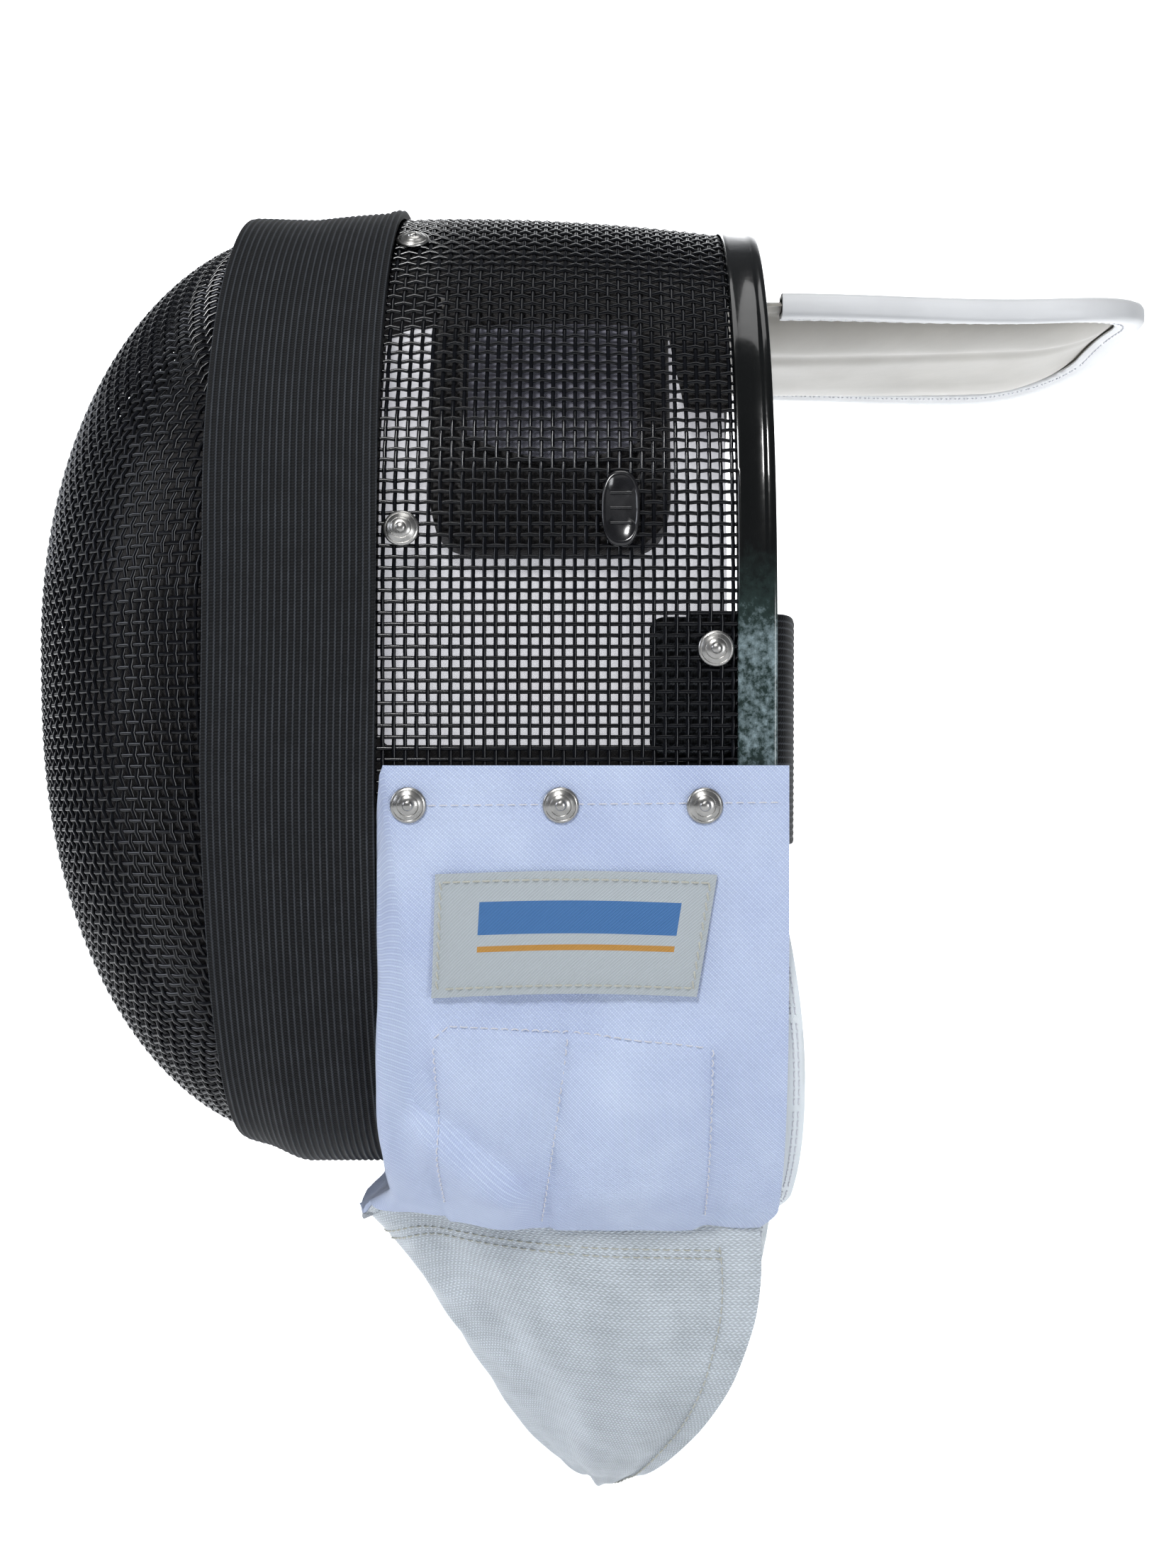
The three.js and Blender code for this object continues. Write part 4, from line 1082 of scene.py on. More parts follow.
# Height of the collar's outer face over its plain form
def collarDetail(u, v):
    shape = collarShape
    along, side = halfOf(u)
    y = lerp(bib["rearY"], collarFrontY, along / bib["corner"])
    level = lerp(bib["topLevel"], bib["hemLevel"], v)
    lift = shape["patchLift"] * patchShare(along, y, level)
    seamY = lerp(shape["seamTopY"], shape["seamFootY"], np.clip((v - 0.5) / 0.5, 0, 1))
    behindSeam = np.clip((y - seamY) / (shape["puffRearY"] - seamY), 0, 1)
    beforeSeam = np.clip((seamY - y) / (seamY - shape["puffFrontY"]), 0, 1)
    puffed = np.sin(math.pi * behindSeam) ** 1.3 + 0.7 * np.sin(math.pi * beforeSeam) ** 1.3
    lift = lift + shape["puff"] * puffed * smooth((v - 0.52) * 5) * (1 - 0.85 * smooth((v - 0.88) * 9))
    lift = lift - shape["seam"] * bump(y - seamY, 0, shape["seamWidth"]) * smooth((v - 0.5) * 30)
    valley = bump(level, shape["valleyLevel"], shape["valleyHeight"])
    lift = lift - shape["valley"] * valley * bump(y, shape["valleyY"], shape["valleyReach"])
    fold = (level - shape["foldLevel"]) + shape["foldSlope"] * (y - shape["foldY"])
    near = smooth((y + 60 * mm) / (8 * mm)) * smooth((-18 * mm - y) / (10 * mm))
    step = smooth(-fold / shape["foldSoft"] + 0.5) - 0.5
    lift = lift + shape["fold"] * step * near * bump(fold, 0, shape["foldReach"])
    crease = np.sin(along * 61 + 7 * v + 2 * side) * np.sin(v * 17 + 9 * along) * smooth(v * 2)
    lift = lift + shape["crease"] * crease
    return lift - shape["topSeam"] * bump(level, bib["topLevel"] - shape["topSeamDrop"], 1.2 * mm)


def makeCollar(shape):
    u = np.linspace(0, 1, shape["columns"] + 1)[:, None]
    v = (1 - (1 - np.linspace(0, 1, shape["rows"] + 1)) ** 1.25)[None, :]
    u, v = np.broadcast_arrays(u, v)
    detail = collarDetail(u, v)
    outer = collarPoint(u, v, bib["cloth"] + detail)
    inner = collarPoint(u, v, 0 * detail)
    piece = wall("collar_twill", outer, inner, twill, False, 70)
    finishPiece(piece, "collar_cloth", "bib_collar")


apronShape = {
    "columns": 170, "rows": 90, "crease": 0.7 * mm, "hemWidth": 7 * mm, "hem": 0.5 * mm,
    "halfRound": 110 * mm, "flat": (0.25, 0.12),
}


# Height of the apron's outer face over its plain form
def apronLift(u, v):
    along, side = halfOf(u)
    ripples = np.sin(9 * along + 12 * v + side) * np.sin(23 * along - 6 * v)
    fine = np.sin(41 * along + 19 * v) * np.sin(7 * along + 33 * v + side)
    fine = fine * bump(along, 0.75, 0.25) * bump(v, 0.15, 0.3)    # at the top, in front
    lift = foldLift("apron", along, v) + apronShape["crease"] * (ripples + 1.1 * fine) * smooth(v * 8)
    fromEdge = along * apronShape["halfRound"] - apronShape["hemWidth"]
    hem = apronShape["hem"] * (1 - smooth(fromEdge / (0.7 * mm)))
    return (lift + hem) * (1 - smooth((v - 0.86) / 0.12)) - form["gap"]


def makeApron(shape):
    start = 1 - bib["tuck"] / (bib["topLevel"] - bib["hemLevel"])
    u = np.linspace(0, 1, shape["columns"] + 1)[:, None]
    v = np.linspace(0, 1, shape["rows"] + 1)[None, 1:]
    allU, allV = np.broadcast_arrays(u, v)
    lift = apronLift(allU, allV)
    faces = []
    for depth in (0.0, bib["cloth"]):
        tucked = [collarPoint(u, np.full_like(u, row), -form["gap"] - depth + 0 * u) for row in (start, 1.0)]
        body = offsetBy(apronSurface, allU, allV, lift - depth)
        faces.append(np.concatenate([*tucked, body], axis=1))
    piece = wall("apron_silver", faces[0], faces[1], silver, False, 70)
    finishPiece(piece, "apron_cloth", "bib_apron")


innerBib = {
    "frontY": 6 * mm, "top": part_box("inner_bib_left")[1][2], "foot": -272 * mm, "bulge": 6 * mm,
    "hemWidth": 6 * mm, "behind": bib["cloth"] + 2 * form["gap"] + form["slack"], "wave": 0.35 * mm,
    "flat": (0.06, 0.105),
}


# Share runs from the front edge to the rear one, and down from the collar's top to past its hem
def innerBibPoint(side, share, down, behind, relief):
    start, foot = collarV(innerBib["top"]), collarV(innerBib["foot"])
    bulge = innerBib["bulge"] * np.sin(math.pi * np.clip((down - start) / (foot - start), 0, 1)) ** 0.8
    y = lerp(innerBib["frontY"], bib["rearY"] + bulge, share)
    onCollar = np.minimum(y, bib["rearY"] - 2 * mm)
    past = y - onCollar
    below = np.maximum(0, down - 1) * (bib["topLevel"] - bib["hemLevel"])
    hem = innerBib["wave"] * (1 - smooth((bib["rearY"] + bulge - y - innerBib["hemWidth"]) / (0.6 * mm)))
    wave = innerBib["wave"] * np.sin(9 * share + 21 * down) * smooth(share * 4)
    lift = -behind + relief * (wave + hem - 0.3 * mm)
    at = collarPoint(collarU(onCollar, side), np.minimum(1, down), lift)
    return at + stack(-side * (past * 0.35 + below * 0.15), past, -below)


def makeInnerBib(sideName, side):
    rows = np.linspace(collarV(innerBib["top"]), collarV(innerBib["foot"]), 46)[None, :]
    share, down = np.broadcast_arrays(np.linspace(0, 1, 40)[:, None], rows)
    outer = innerBibPoint(side, share, down, innerBib["behind"], 1.0)
    inner = innerBibPoint(side, share, down, innerBib["behind"] + bib["cloth"], 0.0)
    piece = wall(f"inner_bib_cloth_{sideName}", outer, inner, innerCloth, False, 70)
    finishPiece(piece, "inner_cloth", f"inner_bib_{sideName}")


makeCollar(collarShape)
makeApron(apronShape)
for sideName, side in (("left", 1), ("right", -1)):
    makeInnerBib(sideName, side)
print("bib sewn")


# Stitches: short threads laid along a line on a surface

stitchShape = {"radius": 0.28 * mm, "sides": 5, "hump": 0.25 * mm}


def stitchRow(surface, start, end, length, gap, lift, zigzag=0.0):
    start, end = np.array(start, float), np.array(end, float)
    shares = np.linspace(0, 1, 60)
    track = np.array([surface(*lerp(start, end, share)) for share in shares])
    run = np.concatenate([[0], np.cumsum(np.linalg.norm(np.diff(track, axis=0), axis=1))])
    lines, ups = [], []
    at = 0.5 * gap
    while at + length < run[-1]:
        ends = []
        for place in np.linspace(at, at + length, 4):
            share = np.interp(place, run, shares)
            ends.append(lerp(start, end, share))
        spots = np.array([surface(*spot) for spot in ends])
        normal = surfaceNormal(surface, ends[1])
        hump = np.array([-1, 1, 1, -1])[:, None] * stitchShape["hump"]
        across = np.cross(normal, spots[-1] - spots[0])
        across /= max(np.linalg.norm(across), 1e-12)
        slant = np.linspace(-1, 1, 4)[:, None] * across * zigzag
        lines.append(spots + normal * (lift + hump) + slant)
        ups.append(np.tile(normal, (4, 1)))
        at += length + gap
    return lines, ups


def surfaceNormal(surface, spot):
    step = 0.002
    u, v = spot
    alongU = surface(u + step, v) - surface(u - step, v)
    normal = np.cross(alongU, surface(u, v + step) - surface(u, v - step))
    return normal / max(np.linalg.norm(normal), 1e-12)


# Calls a surface of arrays with one pair of numbers
def oneSpot(surface, first, second):
    return surface(np.array([[float(first)]]), np.array([[float(second)]]))[0, 0]


# Stitches along a line of more than two spots
def stitchLine(surface, spots, length, gap, lift):
    return [stitchRow(surface, first, second, length, gap, lift) for first, second in zip(spots, spots[1:])]


def sewn(name, rows, material, slot, radius=stitchShape["radius"]):
    lines = [line for row in rows for line in row[0]]
    ups = [up for row in rows for up in row[1]]
    finishPiece(bars(name, lines, ups, radius, stitchShape["sides"], material), slot)


# Places in millimetres: Y and level
collarSeams = {
    "radius": 0.2 * mm, "length": 1.9 * mm, "gap": 0.9 * mm, "lift": 0.05 * mm, "topLength": 2.2 * mm,
    "top": [(52, -132), (-55, -133)],
    "patch": [(-47.8, -246), (-47.8, -196), (-43, -192.6), (-6, -194.5), (34, -198.5), (33.5, -250)],
    "middle": [(-7.6, -196), (-16.6, -252)],
}


def collarFace(u, v):
    return oneSpot(lambda a, b: collarPoint(a, b, bib["cloth"] + collarDetail(a, b)), u, v)


def makeCollarStitches(seams):
    rows = []
    for side in (1, -1):
        for line in ("top", "patch", "middle"):
            spots = [(float(collarU(y * mm, side)), float(collarV(level * mm))) for y, level in seams[line]]
            length = seams["topLength"] if line == "top" else seams["length"]
            rows += stitchLine(collarFace, spots, length, seams["gap"], seams["lift"])
    sewn("collar_stitches", rows, whiteThread, "collar_cloth", seams["radius"])


# Label: a thin woven panel with its edge stitches

labelShape = {
    "length": 79 * mm, "height": 33 * mm, "y": -3 * mm, "level": -168 * mm, "wall": 0.8 * mm,
    "shift": 1.5 * mm, "skewRear": 5.4 * mm, "skewFront": 3.6 * mm, "arch": 2.0 * mm, "droop": 1.2 * mm,
    "pucker": 0.12 * mm, "stitchInset": 0.07, "stitch": 1.9 * mm, "stitchGap": 0.8 * mm,
    "stitchLift": 0.1 * mm,
}


def labelAt(share, rise):
    shape = labelShape
    y = lerp(shape["y"] + shape["length"] / 2, shape["y"] - shape["length"] / 2, share)
    y = y - shape["shift"] - rise * lerp(shape["skewRear"], shape["skewFront"], share)
    level = lerp(shape["level"] + shape["height"] / 2, shape["level"] - shape["height"] / 2, rise)
    arch = shape["arch"] * np.sin(math.pi * np.clip(share, 0, 1)) - shape["droop"] * (rise > 0.5) * share
    return collarU(y), collarV(level + 0.45 * arch)


def labelFace(share, rise, offset=labelShape["wall"]):
    share, rise = np.broadcast_arrays(*(np.atleast_2d(np.asarray(value, float)) for value in (share, rise)))
    u, v = labelAt(share, rise)
    pucker = labelShape["pucker"] * np.sin(share * 95) * (bump(rise, 0, 0.1) + bump(rise, 1, 0.1))
    lift = bib["cloth"] + form["gap"] + offset + collarShape["crease"] * 0.6 + pucker * (offset > 0)
    return collarPoint(u, v, lift + 0 * u)


def makeLabel():
    share = np.linspace(0, 1, 91)[:, None]
    rise = np.linspace(0, 1, 37)[None, :]
    outer = labelFace(share, rise)
    inner = labelFace(share, rise, 0.0)
    piece = wall("woven_label_cloth", outer[::-1], inner[::-1], labelSatin, False, 50)
    finishPiece(piece, "label_cloth", "woven_label")
    top, foot = labelShape["stitchInset"], 1 - labelShape["stitchInset"]
    size = (labelShape["stitch"], labelShape["stitchGap"], labelShape["stitchLift"])
    face = lambda a, b: labelFace(a, b)[0, 0]
    rows = []
    for first, second, zigzag in (
        ((0.02, top), (0.98, top), 0.0), ((0.02, foot), (0.98, foot), 0.0),
        ((0.02, 0.06), (0.02, 0.94), 0.3 * mm), ((0.98, 0.06), (0.98, 0.94), 0.3 * mm),
    ):
        rows.append(stitchRow(face, first, second, *size, zigzag))
    sewn("label_stitches", rows, creamThread, "label_cloth")


# Stitches along the apron's two rear hems, and two rows across it under the collar
apronSeams = {
    "edges": (0.032, 0.968), "rows": (0.05, 0.065), "radius": 0.22 * mm, "length": 2.0 * mm, "gap": 1.0 * mm,
    "edgeLift": 0.2 * mm, "rowLift": 0.1 * mm,
}


def apronFace(u, v):
    return oneSpot(lambda a, b: offsetBy(apronSurface, a, b, apronLift(a, b)), u, v)


def makeApronStitches(seams):
    size = (seams["length"], seams["gap"])
    rows = []
    for edge in seams["edges"]:
        rows += stitchLine(apronFace, [(edge, 0.04), (edge, 0.86)], *size, seams["edgeLift"])
    for row in seams["rows"]:
        spots = [(u, row) for u in np.linspace(0.03, 0.97, 9)]
        rows += stitchLine(apronFace, spots, *size, seams["rowLift"])
    sewn("apron_stitches", rows, creamThread, "apron_cloth", seams["radius"])


# Two rows of stitches inside the inner bib's rear edge
innerSeams = {
    "shares": (0.94, 0.965), "radius": 0.2 * mm, "length": 1.9 * mm, "gap": 0.9 * mm, "lift": 0.25 * mm,
}


def makeInnerBibStitches(seams):
    rows = []
    levels = np.linspace(collarV(innerBib["top"]), collarV(innerBib["foot"]), 5)
    for side in (1, -1):
        outward = np.tile([float(side), 0.0, 0.0], (4, 1))
        face = lambda a, b: oneSpot(lambda c, d: innerBibPoint(side, c, d, innerBib["behind"], 1.0), a, b)
        for share in seams["shares"]:
            spots = [(share, level) for level in levels]
            for lines, ups in stitchLine(face, spots, seams["length"], seams["gap"], 0.0):
                rows.append(([line + outward * seams["lift"] for line in lines], [outward for _ in ups]))
    sewn("inner_bib_stitches", rows, whiteThread, "inner_cloth", seams["radius"])


makeCollarStitches(collarSeams)
makeLabel()
makeApronStitches(apronSeams)
makeInnerBibStitches(innerSeams)
print("label and stitches laid")


# Padded tongue with its sewn binding

tongueLow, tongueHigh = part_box("tongue_binding")
tongue = {
    "half": tongueHigh[0], "frontY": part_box("tongue_pad")[0][1], "tipY": tongueHigh[1] - 1.5 * mm,
    "corner": 38 * mm, "thick": 13 * mm, "edge": 9 * mm, "lift": 19 * mm, "clear": 1.1 * mm,
    "binding": 1.2 * mm, "reach": 9 * mm, "bindingY": tongueLow[1], "pucker": 0.12 * mm,
    "rim": 2.8 * mm, "rimLevel": (18.5 * mm, 21.8 * mm), "rimArch": (2.5 * mm, 7 * mm), "rimY": 60 * mm,
    "belly": 9 * mm, "back": 3.5 * mm, "round": 30 * mm, "cushionY": 12 * mm, "cushionEase": 38 * mm,
    "crease": 1.2 * mm, "creaseX": 20 * mm, "creaseWidth": 4.5 * mm,
    "stitch": 2.3 * mm, "stitchGap": 0.9 * mm, "stitchRadius": 0.25 * mm,
}

# How the stretch under the crown turns into the free one: lift of the underside, and arch across it
tongueRows = {
    "along": [0.22, 0.33, 0.44, 0.55, 0.75, 1.00], "lift": [0.00, 0.34, 0.82, 0.93, 0.97, 1.00],
    "arch": [0.15, 0.14, 0.14, 0.15, 0.17, 0.18],
}


def tongueShape(y):
    inside = -form["wall"] - 2 * form["gap"] - tongue["clear"]
    share = (y - tongue["frontY"]) / (tongue["tipY"] - tongue["frontY"])
    middle = sectionPoint(0 * y, y, inside)[..., 2]
    rise = crownAt(y) + inside
    across = min(0.99, tongue["half"] / (halfWidth + inside))
    height = rise * (1 - across ** form["upperPower"]) ** (1 / form["upperPower"])
    edge = sectionPoint(np.arctan2(tongue["half"], height), y, inside)[..., 2]
    crownLift = middle - tongue["thick"]
    crownArch = middle - edge - (tongue["thick"] - tongue["edge"]) / 2
    lift = np.interp(share, tongueRows["along"], tongueRows["lift"]) * tongue["lift"]
    arch = np.interp(share, tongueRows["along"], tongueRows["arch"]) * tongue["half"]
    blend = smooth(share / tongueRows["along"][0])
    return lerp(crownLift, lift, blend), lerp(crownArch, arch, blend)


# How far a point lies inside the tongue's outline
def tongueInset(x, y):
    aside = np.maximum(0, np.abs(x) - (tongue["half"] - tongue["corner"]))
    ahead = np.maximum(0, y - (tongue["tipY"] - tongue["corner"]))
    return tongue["corner"] - np.hypot(aside, ahead)


# Under the crown the tongue follows the mesh. Behind the rim it is a cushion with a thin bound edge.
def tongueHeights(x, y):
    lift, arch = tongueShape(y)
    share = np.minimum(1, np.abs(x) / tongue["half"])
    held = lerp(tongue["thick"], tongue["edge"], share ** 4)
    heldUnder = lift - arch * share ** 2 + (tongue["thick"] - held) / 2
    level = lerp(*tongue["rimLevel"], smooth((y - tongue["rimY"]) / (115 * mm)))
    level = level - share ** 2 * lerp(*tongue["rimArch"], smooth((y - tongue["rimY"]) / (80 * mm)))
    into = np.clip((tongueInset(x, y) - tongue["reach"] - 0.6 * mm) / tongue["round"], 0, 1)
    full = np.maximum(0, 1 - (1 - into) ** 2) ** 0.7
    belly = (tongue["belly"] - tongue["crease"] * bump(x, tongue["creaseX"], tongue["creaseWidth"])) * full
    blend = smooth((y - tongue["cushionY"]) / tongue["cushionEase"])
    under = lerp(heldUnder, level - tongue["rim"] / 2 - belly, blend)
    over = lerp(heldUnder + held, level + tongue["rim"] / 2 + tongue["back"] * full, blend)
    return under, over


# Half the tongue's width at a place along it
def tonguePlan(y, inset):
    into = np.maximum(0, y - (tongue["tipY"] - tongue["corner"]))
    radius = tongue["corner"] - inset
    return tongue["half"] - tongue["corner"] + np.sqrt(np.maximum(0, radius ** 2 - into ** 2))


def makeTongue():
    inset = tongue["binding"] + form["gap"] + form["slack"]
    centre = tongue["tipY"] - tongue["corner"]
    straight = np.linspace(tongue["frontY"], centre, 70)[:-1]
    corner = centre + (tongue["corner"] - inset) * np.sin(np.linspace(0, math.pi / 2, 26))
    across = np.linspace(-1, 1, 81)[None, :]
    y = np.concatenate([straight, corner])[:, None] + 0 * across
    x = tonguePlan(y, inset) * across
    under, over = tongueHeights(x, y)
    rounding = np.minimum(1.8 * mm * np.maximum(0, np.abs(across) - 0.95) / 0.05, 0.4 * (over - under))
    top = stack(x, y, over - rounding)
    bottom = stack(x, y, under + rounding)
    rings = np.concatenate([top, bottom[:, ::-1]], axis=1)
    piece = loft("tongue_cover", rings, False, coverVinylPaintedShade, 60)
    finishPiece(piece, "tongue_vinyl", "tongue_pad")


# A place on the tongue's outline, from its +X front end round the tip to the other one, and the way out there
def tongueOutline(share):
    straight = tongue["tipY"] - tongue["corner"] - tongue["bindingY"]
    corner = tongue["corner"] * math.pi / 2
    flat = tongue["half"] - tongue["corner"]
    half = straight + corner + flat
    travel = (1 - abs(2 * share - 1)) * half
    side = 1 if share <= 0.5 else -1
    if travel <= straight:
        return side * tongue["half"], tongue["bindingY"] + travel, side, 0.0
    if travel <= straight + corner:
        turn = (travel - straight) / tongue["corner"]
        return (side * (flat + tongue["corner"] * math.cos(turn)),
                tongue["tipY"] - tongue["corner"] + tongue["corner"] * math.sin(turn),
                side * math.cos(turn), math.sin(turn))
    return side * (half - travel), tongue["tipY"], 0.0, 1.0


def makeBinding():
    inside = form["gap"] + form["slack"]
    outside = inside + tongue["binding"]
    reach, hidden = tongue["reach"], tongue["binding"]
    groove = reach - 2.6 * mm

    # overShare is 1 on the upper face and 0 on the lower one
    def bound(share, inset, overShare, stand):
        x, y, outX, outY = tongueOutline(min(1.0, max(0.0, float(share))))
        x, y = x - outX * float(inset), y - outY * float(inset)
        under, over = tongueHeights(np.array(x), np.array(y))
        return np.array([x, y, lerp(float(under) - stand, float(over) + stand, overShare)])

    rings = []
    for share in np.linspace(0, 1, 181):
        pucker = tongue["pucker"] * math.sin(share * 420)
        face = [
            (reach, inside), (reach, outside * 0.7), (reach - 1.2 * mm, outside + pucker),
            (groove, outside - 0.35 * mm), (reach - 4.2 * mm, outside + 0.2 * mm),
            (2.4 * mm, outside + 0.15 * mm), (0.7 * mm, outside - 0.5 * mm), (0.05 * mm, outside - 1.6 * mm),
        ]
        section = [(hidden, 1.0, inside)] + [(inset, 1.0, stand) for inset, stand in face]
        section += [(-0.1 * mm, 0.5, 0.0)] + [(inset, 0.0, stand) for inset, stand in face[::-1]]
        section += [(hidden, 0.0, inside), (hidden, 0.5, inside)]
        rings.append([bound(share, *spot) for spot in section])
    piece = loft("tongue_piping", rings, False, vinyl, 60)
    finishPiece(piece, "tongue_vinyl", "tongue_binding")

    rows = []
    for overShare in (1.0, 0.0):
        face = lambda share, inset: bound(share, inset, overShare, outside - 0.3 * mm)
        up = np.tile([0.0, 0.0, 2 * overShare - 1], (4, 1))
        spots = [(share, groove) for share in np.linspace(0, 1, 13)]
        for lines, ups in stitchLine(face, spots, tongue["stitch"], tongue["stitchGap"], 0.0):
            rows.append((lines, [up for _ in ups]))
    sewn("tongue_stitches", rows, whiteThread, "tongue_vinyl", tongue["stitchRadius"])


makeTongue()
makeBinding()
print("tongue padded")


# Padding, linings, tabs and strap inside the mesh

padOuter = -form["wall"] - form["gap"] - form["slack"]

# Outer is the place of a panel's outer face. Further is how much it reaches past its solid in front.
# Frame is the width of the raised edge round a hollow.
panels = {
    "temple_padding": {
        "node": "temple_pad", "outer": padOuter, "thick": 8 * mm, "corner": 14 * mm, "frame": 8 * mm,
        "hollow": 3.2 * mm, "material": padCloth, "slot": "pad_cloth",
    },
    "lining": {
        "node": "side_lining", "outer": padOuter - 8 * mm - form["gap"] - form["slack"], "thick": 2 * mm,
        "corner": 6 * mm, "further": 4 * mm, "material": liningCloth, "slot": "lining_cloth",
    },
    "strap_end": {
        "node": "strap_tab", "outer": padOuter, "thick": 2 * mm, "corner": 3 * mm, "material": elastic,
        "slot": "elastic",
    },
}


def makePanel(name, sideName, side):
    shape = panels[name]
    node, outer, thick = f"{shape['node']}_{sideName}", shape["outer"], shape["thick"]
    low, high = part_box(node)
    frontY, rearY, foot, top = low[1] - shape.get("further", 0), high[1], low[2], high[2]
    share = np.linspace(0, 1, 44)[:, None]
    fall = np.linspace(0, 1, 50)[None, :]
    y = lerp(frontY, rearY, share)
    middle, reach = (frontY + rearY) / 2, (rearY - frontY) / 2
    into = np.clip(np.abs(y - middle) / reach - 0.6, 0, 1) / 0.4
    cut = shape["corner"] * (1 - np.sqrt(np.maximum(0, 1 - into ** 2)))
    level = lerp(top - cut, foot + cut, fall)
    y = y + 0 * level
    rim = np.minimum(np.minimum(y - frontY, rearY - y), np.minimum(top - level, level - foot))
    hollow = 0 * rim
    if "frame" in shape:
        hollow = shape["hollow"] * smooth((rim - shape["frame"]) / (1.5 * mm))
    roundOff = 1.4 * mm * (1 - smooth(rim / (2.5 * mm))) * (thick > 3 * mm)
    angle = angleAt(level, y, outer)
    outerFace = mirrorX(sectionPoint(angle, y, outer - roundOff - hollow), side)
    innerFace = mirrorX(sectionPoint(angle, y, outer - thick + roundOff), side)
    piece = wall(f"{name}_{sideName}", outerFace, innerFace, shape["material"], False, 60)
    finishPiece(piece, shape["slot"], node)
    return piece


# Pale cloth in the upper part of the padding's frame, coloured a dark grey-lavender as painted shade, with a
# black piping along its curved lower edge
padFace = {
    "frontY": -34 * mm, "rearY": 19 * mm, "top": 15 * mm, "foot": -29 * mm, "sag": 7 * mm, "wall": 1.0 * mm,
    "puff": 1.2 * mm, "depth": 3.0 * mm, "pipingDepth": 2.2 * mm, "pipingRadius": 1.1 * mm, "fill": 0.3,
}


def makePadFace(sideName, side):
    shape = padFace
    share = np.linspace(0, 1, 36)[:, None]
    fall = np.linspace(0, 1, 30)[None, :]
    y = lerp(shape["frontY"], shape["rearY"], share) + 0 * fall
    cornerCut = 3 * mm * (np.abs(2 * share - 1)) ** 8
    foot = shape["foot"] - shape["sag"] * (1 - (2 * share - 1) ** 2)
    level = lerp(shape["top"] - cornerCut, foot, fall)
    puff = shape["puff"] * np.sin(math.pi * share) * np.sin(math.pi * fall)
    angle = angleAt(level, y, padOuter)
    front = mirrorX(sectionPoint(angle, y, padOuter - shape["depth"] + puff), side)
    behind = mirrorX(sectionPoint(angle, y, padOuter - shape["depth"] - shape["wall"]), side)
    piece = wall(f"padding_face_{sideName}", front, behind, paleClothPaintedShade, False, 60)
    finishPiece(piece, "pad_cloth")
    angle = angleAt(foot[:, 0], y[:, 0], padOuter)
    line = mirrorX(sectionPoint(angle, y[:, 0], padOuter - shape["pipingDepth"]), side)
    normal = np.tile([float(side), 0.0, 0.0], (len(line), 1))
    piping = bars(f"padding_piping_{sideName}", [line], [normal], shape["pipingRadius"], 10, padCloth)
    finishPiece(piping, "pad_cloth")


# Ribbed strap behind the head, from tab to tab
strapShape = {
    "thick": 2 * mm, "bow": 11.5 * mm, "ribHeight": 0.25 * mm, "stepsPerRib": 4, "flat": (0.25, 0.064),
}


def makeStrap(shape):
    low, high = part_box("rear_strap")
    outer = padOuter - panels["strap_end"]["thick"] - form["gap"]
    rib, perRib = elasticFinish["rib"], shape["stepsPerRib"]
    count = int((high[2] - low[2]) / rib) * perRib
    levels = np.linspace(high[2], low[2], count + 1)
    ribs = shape["ribHeight"] * (0.5 + 0.5 * np.cos(np.arange(count + 1) * math.pi / 2))
    ys = np.linspace(low[1], rimY, 18)
    turns = np.linspace(0, math.pi / 2, 22)[1:]

    # Turn is 0 beside the head, and a right angle in the middle behind it
    def ring(y, turn, side):
        faces = []
        for offset, lift in ((outer, ribs), (outer - shape["thick"], 0 * ribs)):
            width = halfWidthAt(levels, y, offset)
            if turn == 0:
                faces.append(stack(side * (width - lift), y, levels))
                continue
            behind = y + shape["bow"] * math.sin(turn) ** 0.8 + (offset - outer) * math.sin(turn) - lift
            faces.append(stack(side * width * math.cos(turn), behind, levels))
        return np.concatenate([faces[0], faces[1][::-1]], axis=0)

    spots = [(y, 0) for y in ys] + [(rimY, turn) for turn in turns]
    rings = [ring(*spot, 1) for spot in spots] + [ring(*spot, -1) for spot in spots[-2::-1]]
    down = np.arange(count + 1) / perRib * rib
    across = np.concatenate([down, down[::-1], [0]])
    piece = loft("ribbed_rear_strap", np.array(rings), False, elastic, 60, across)
    finishPiece(piece, "elastic", "rear_strap")


# Painted shade: black cloth behind the sides of the dome that keeps the view into the dome dark, and leaves
# the middle of the face clear
domePaintedShadeShape = {
    "frontY": -158 * mm, "pastJoint": 26 * mm, "top": 20 * mm, "foot": -232 * mm, "behind": 4.4 * mm,
    "wall": 1.2 * mm, "narrowing": 0.35, "lowest": 0.94, "flat": (0.1, 0.21),
}


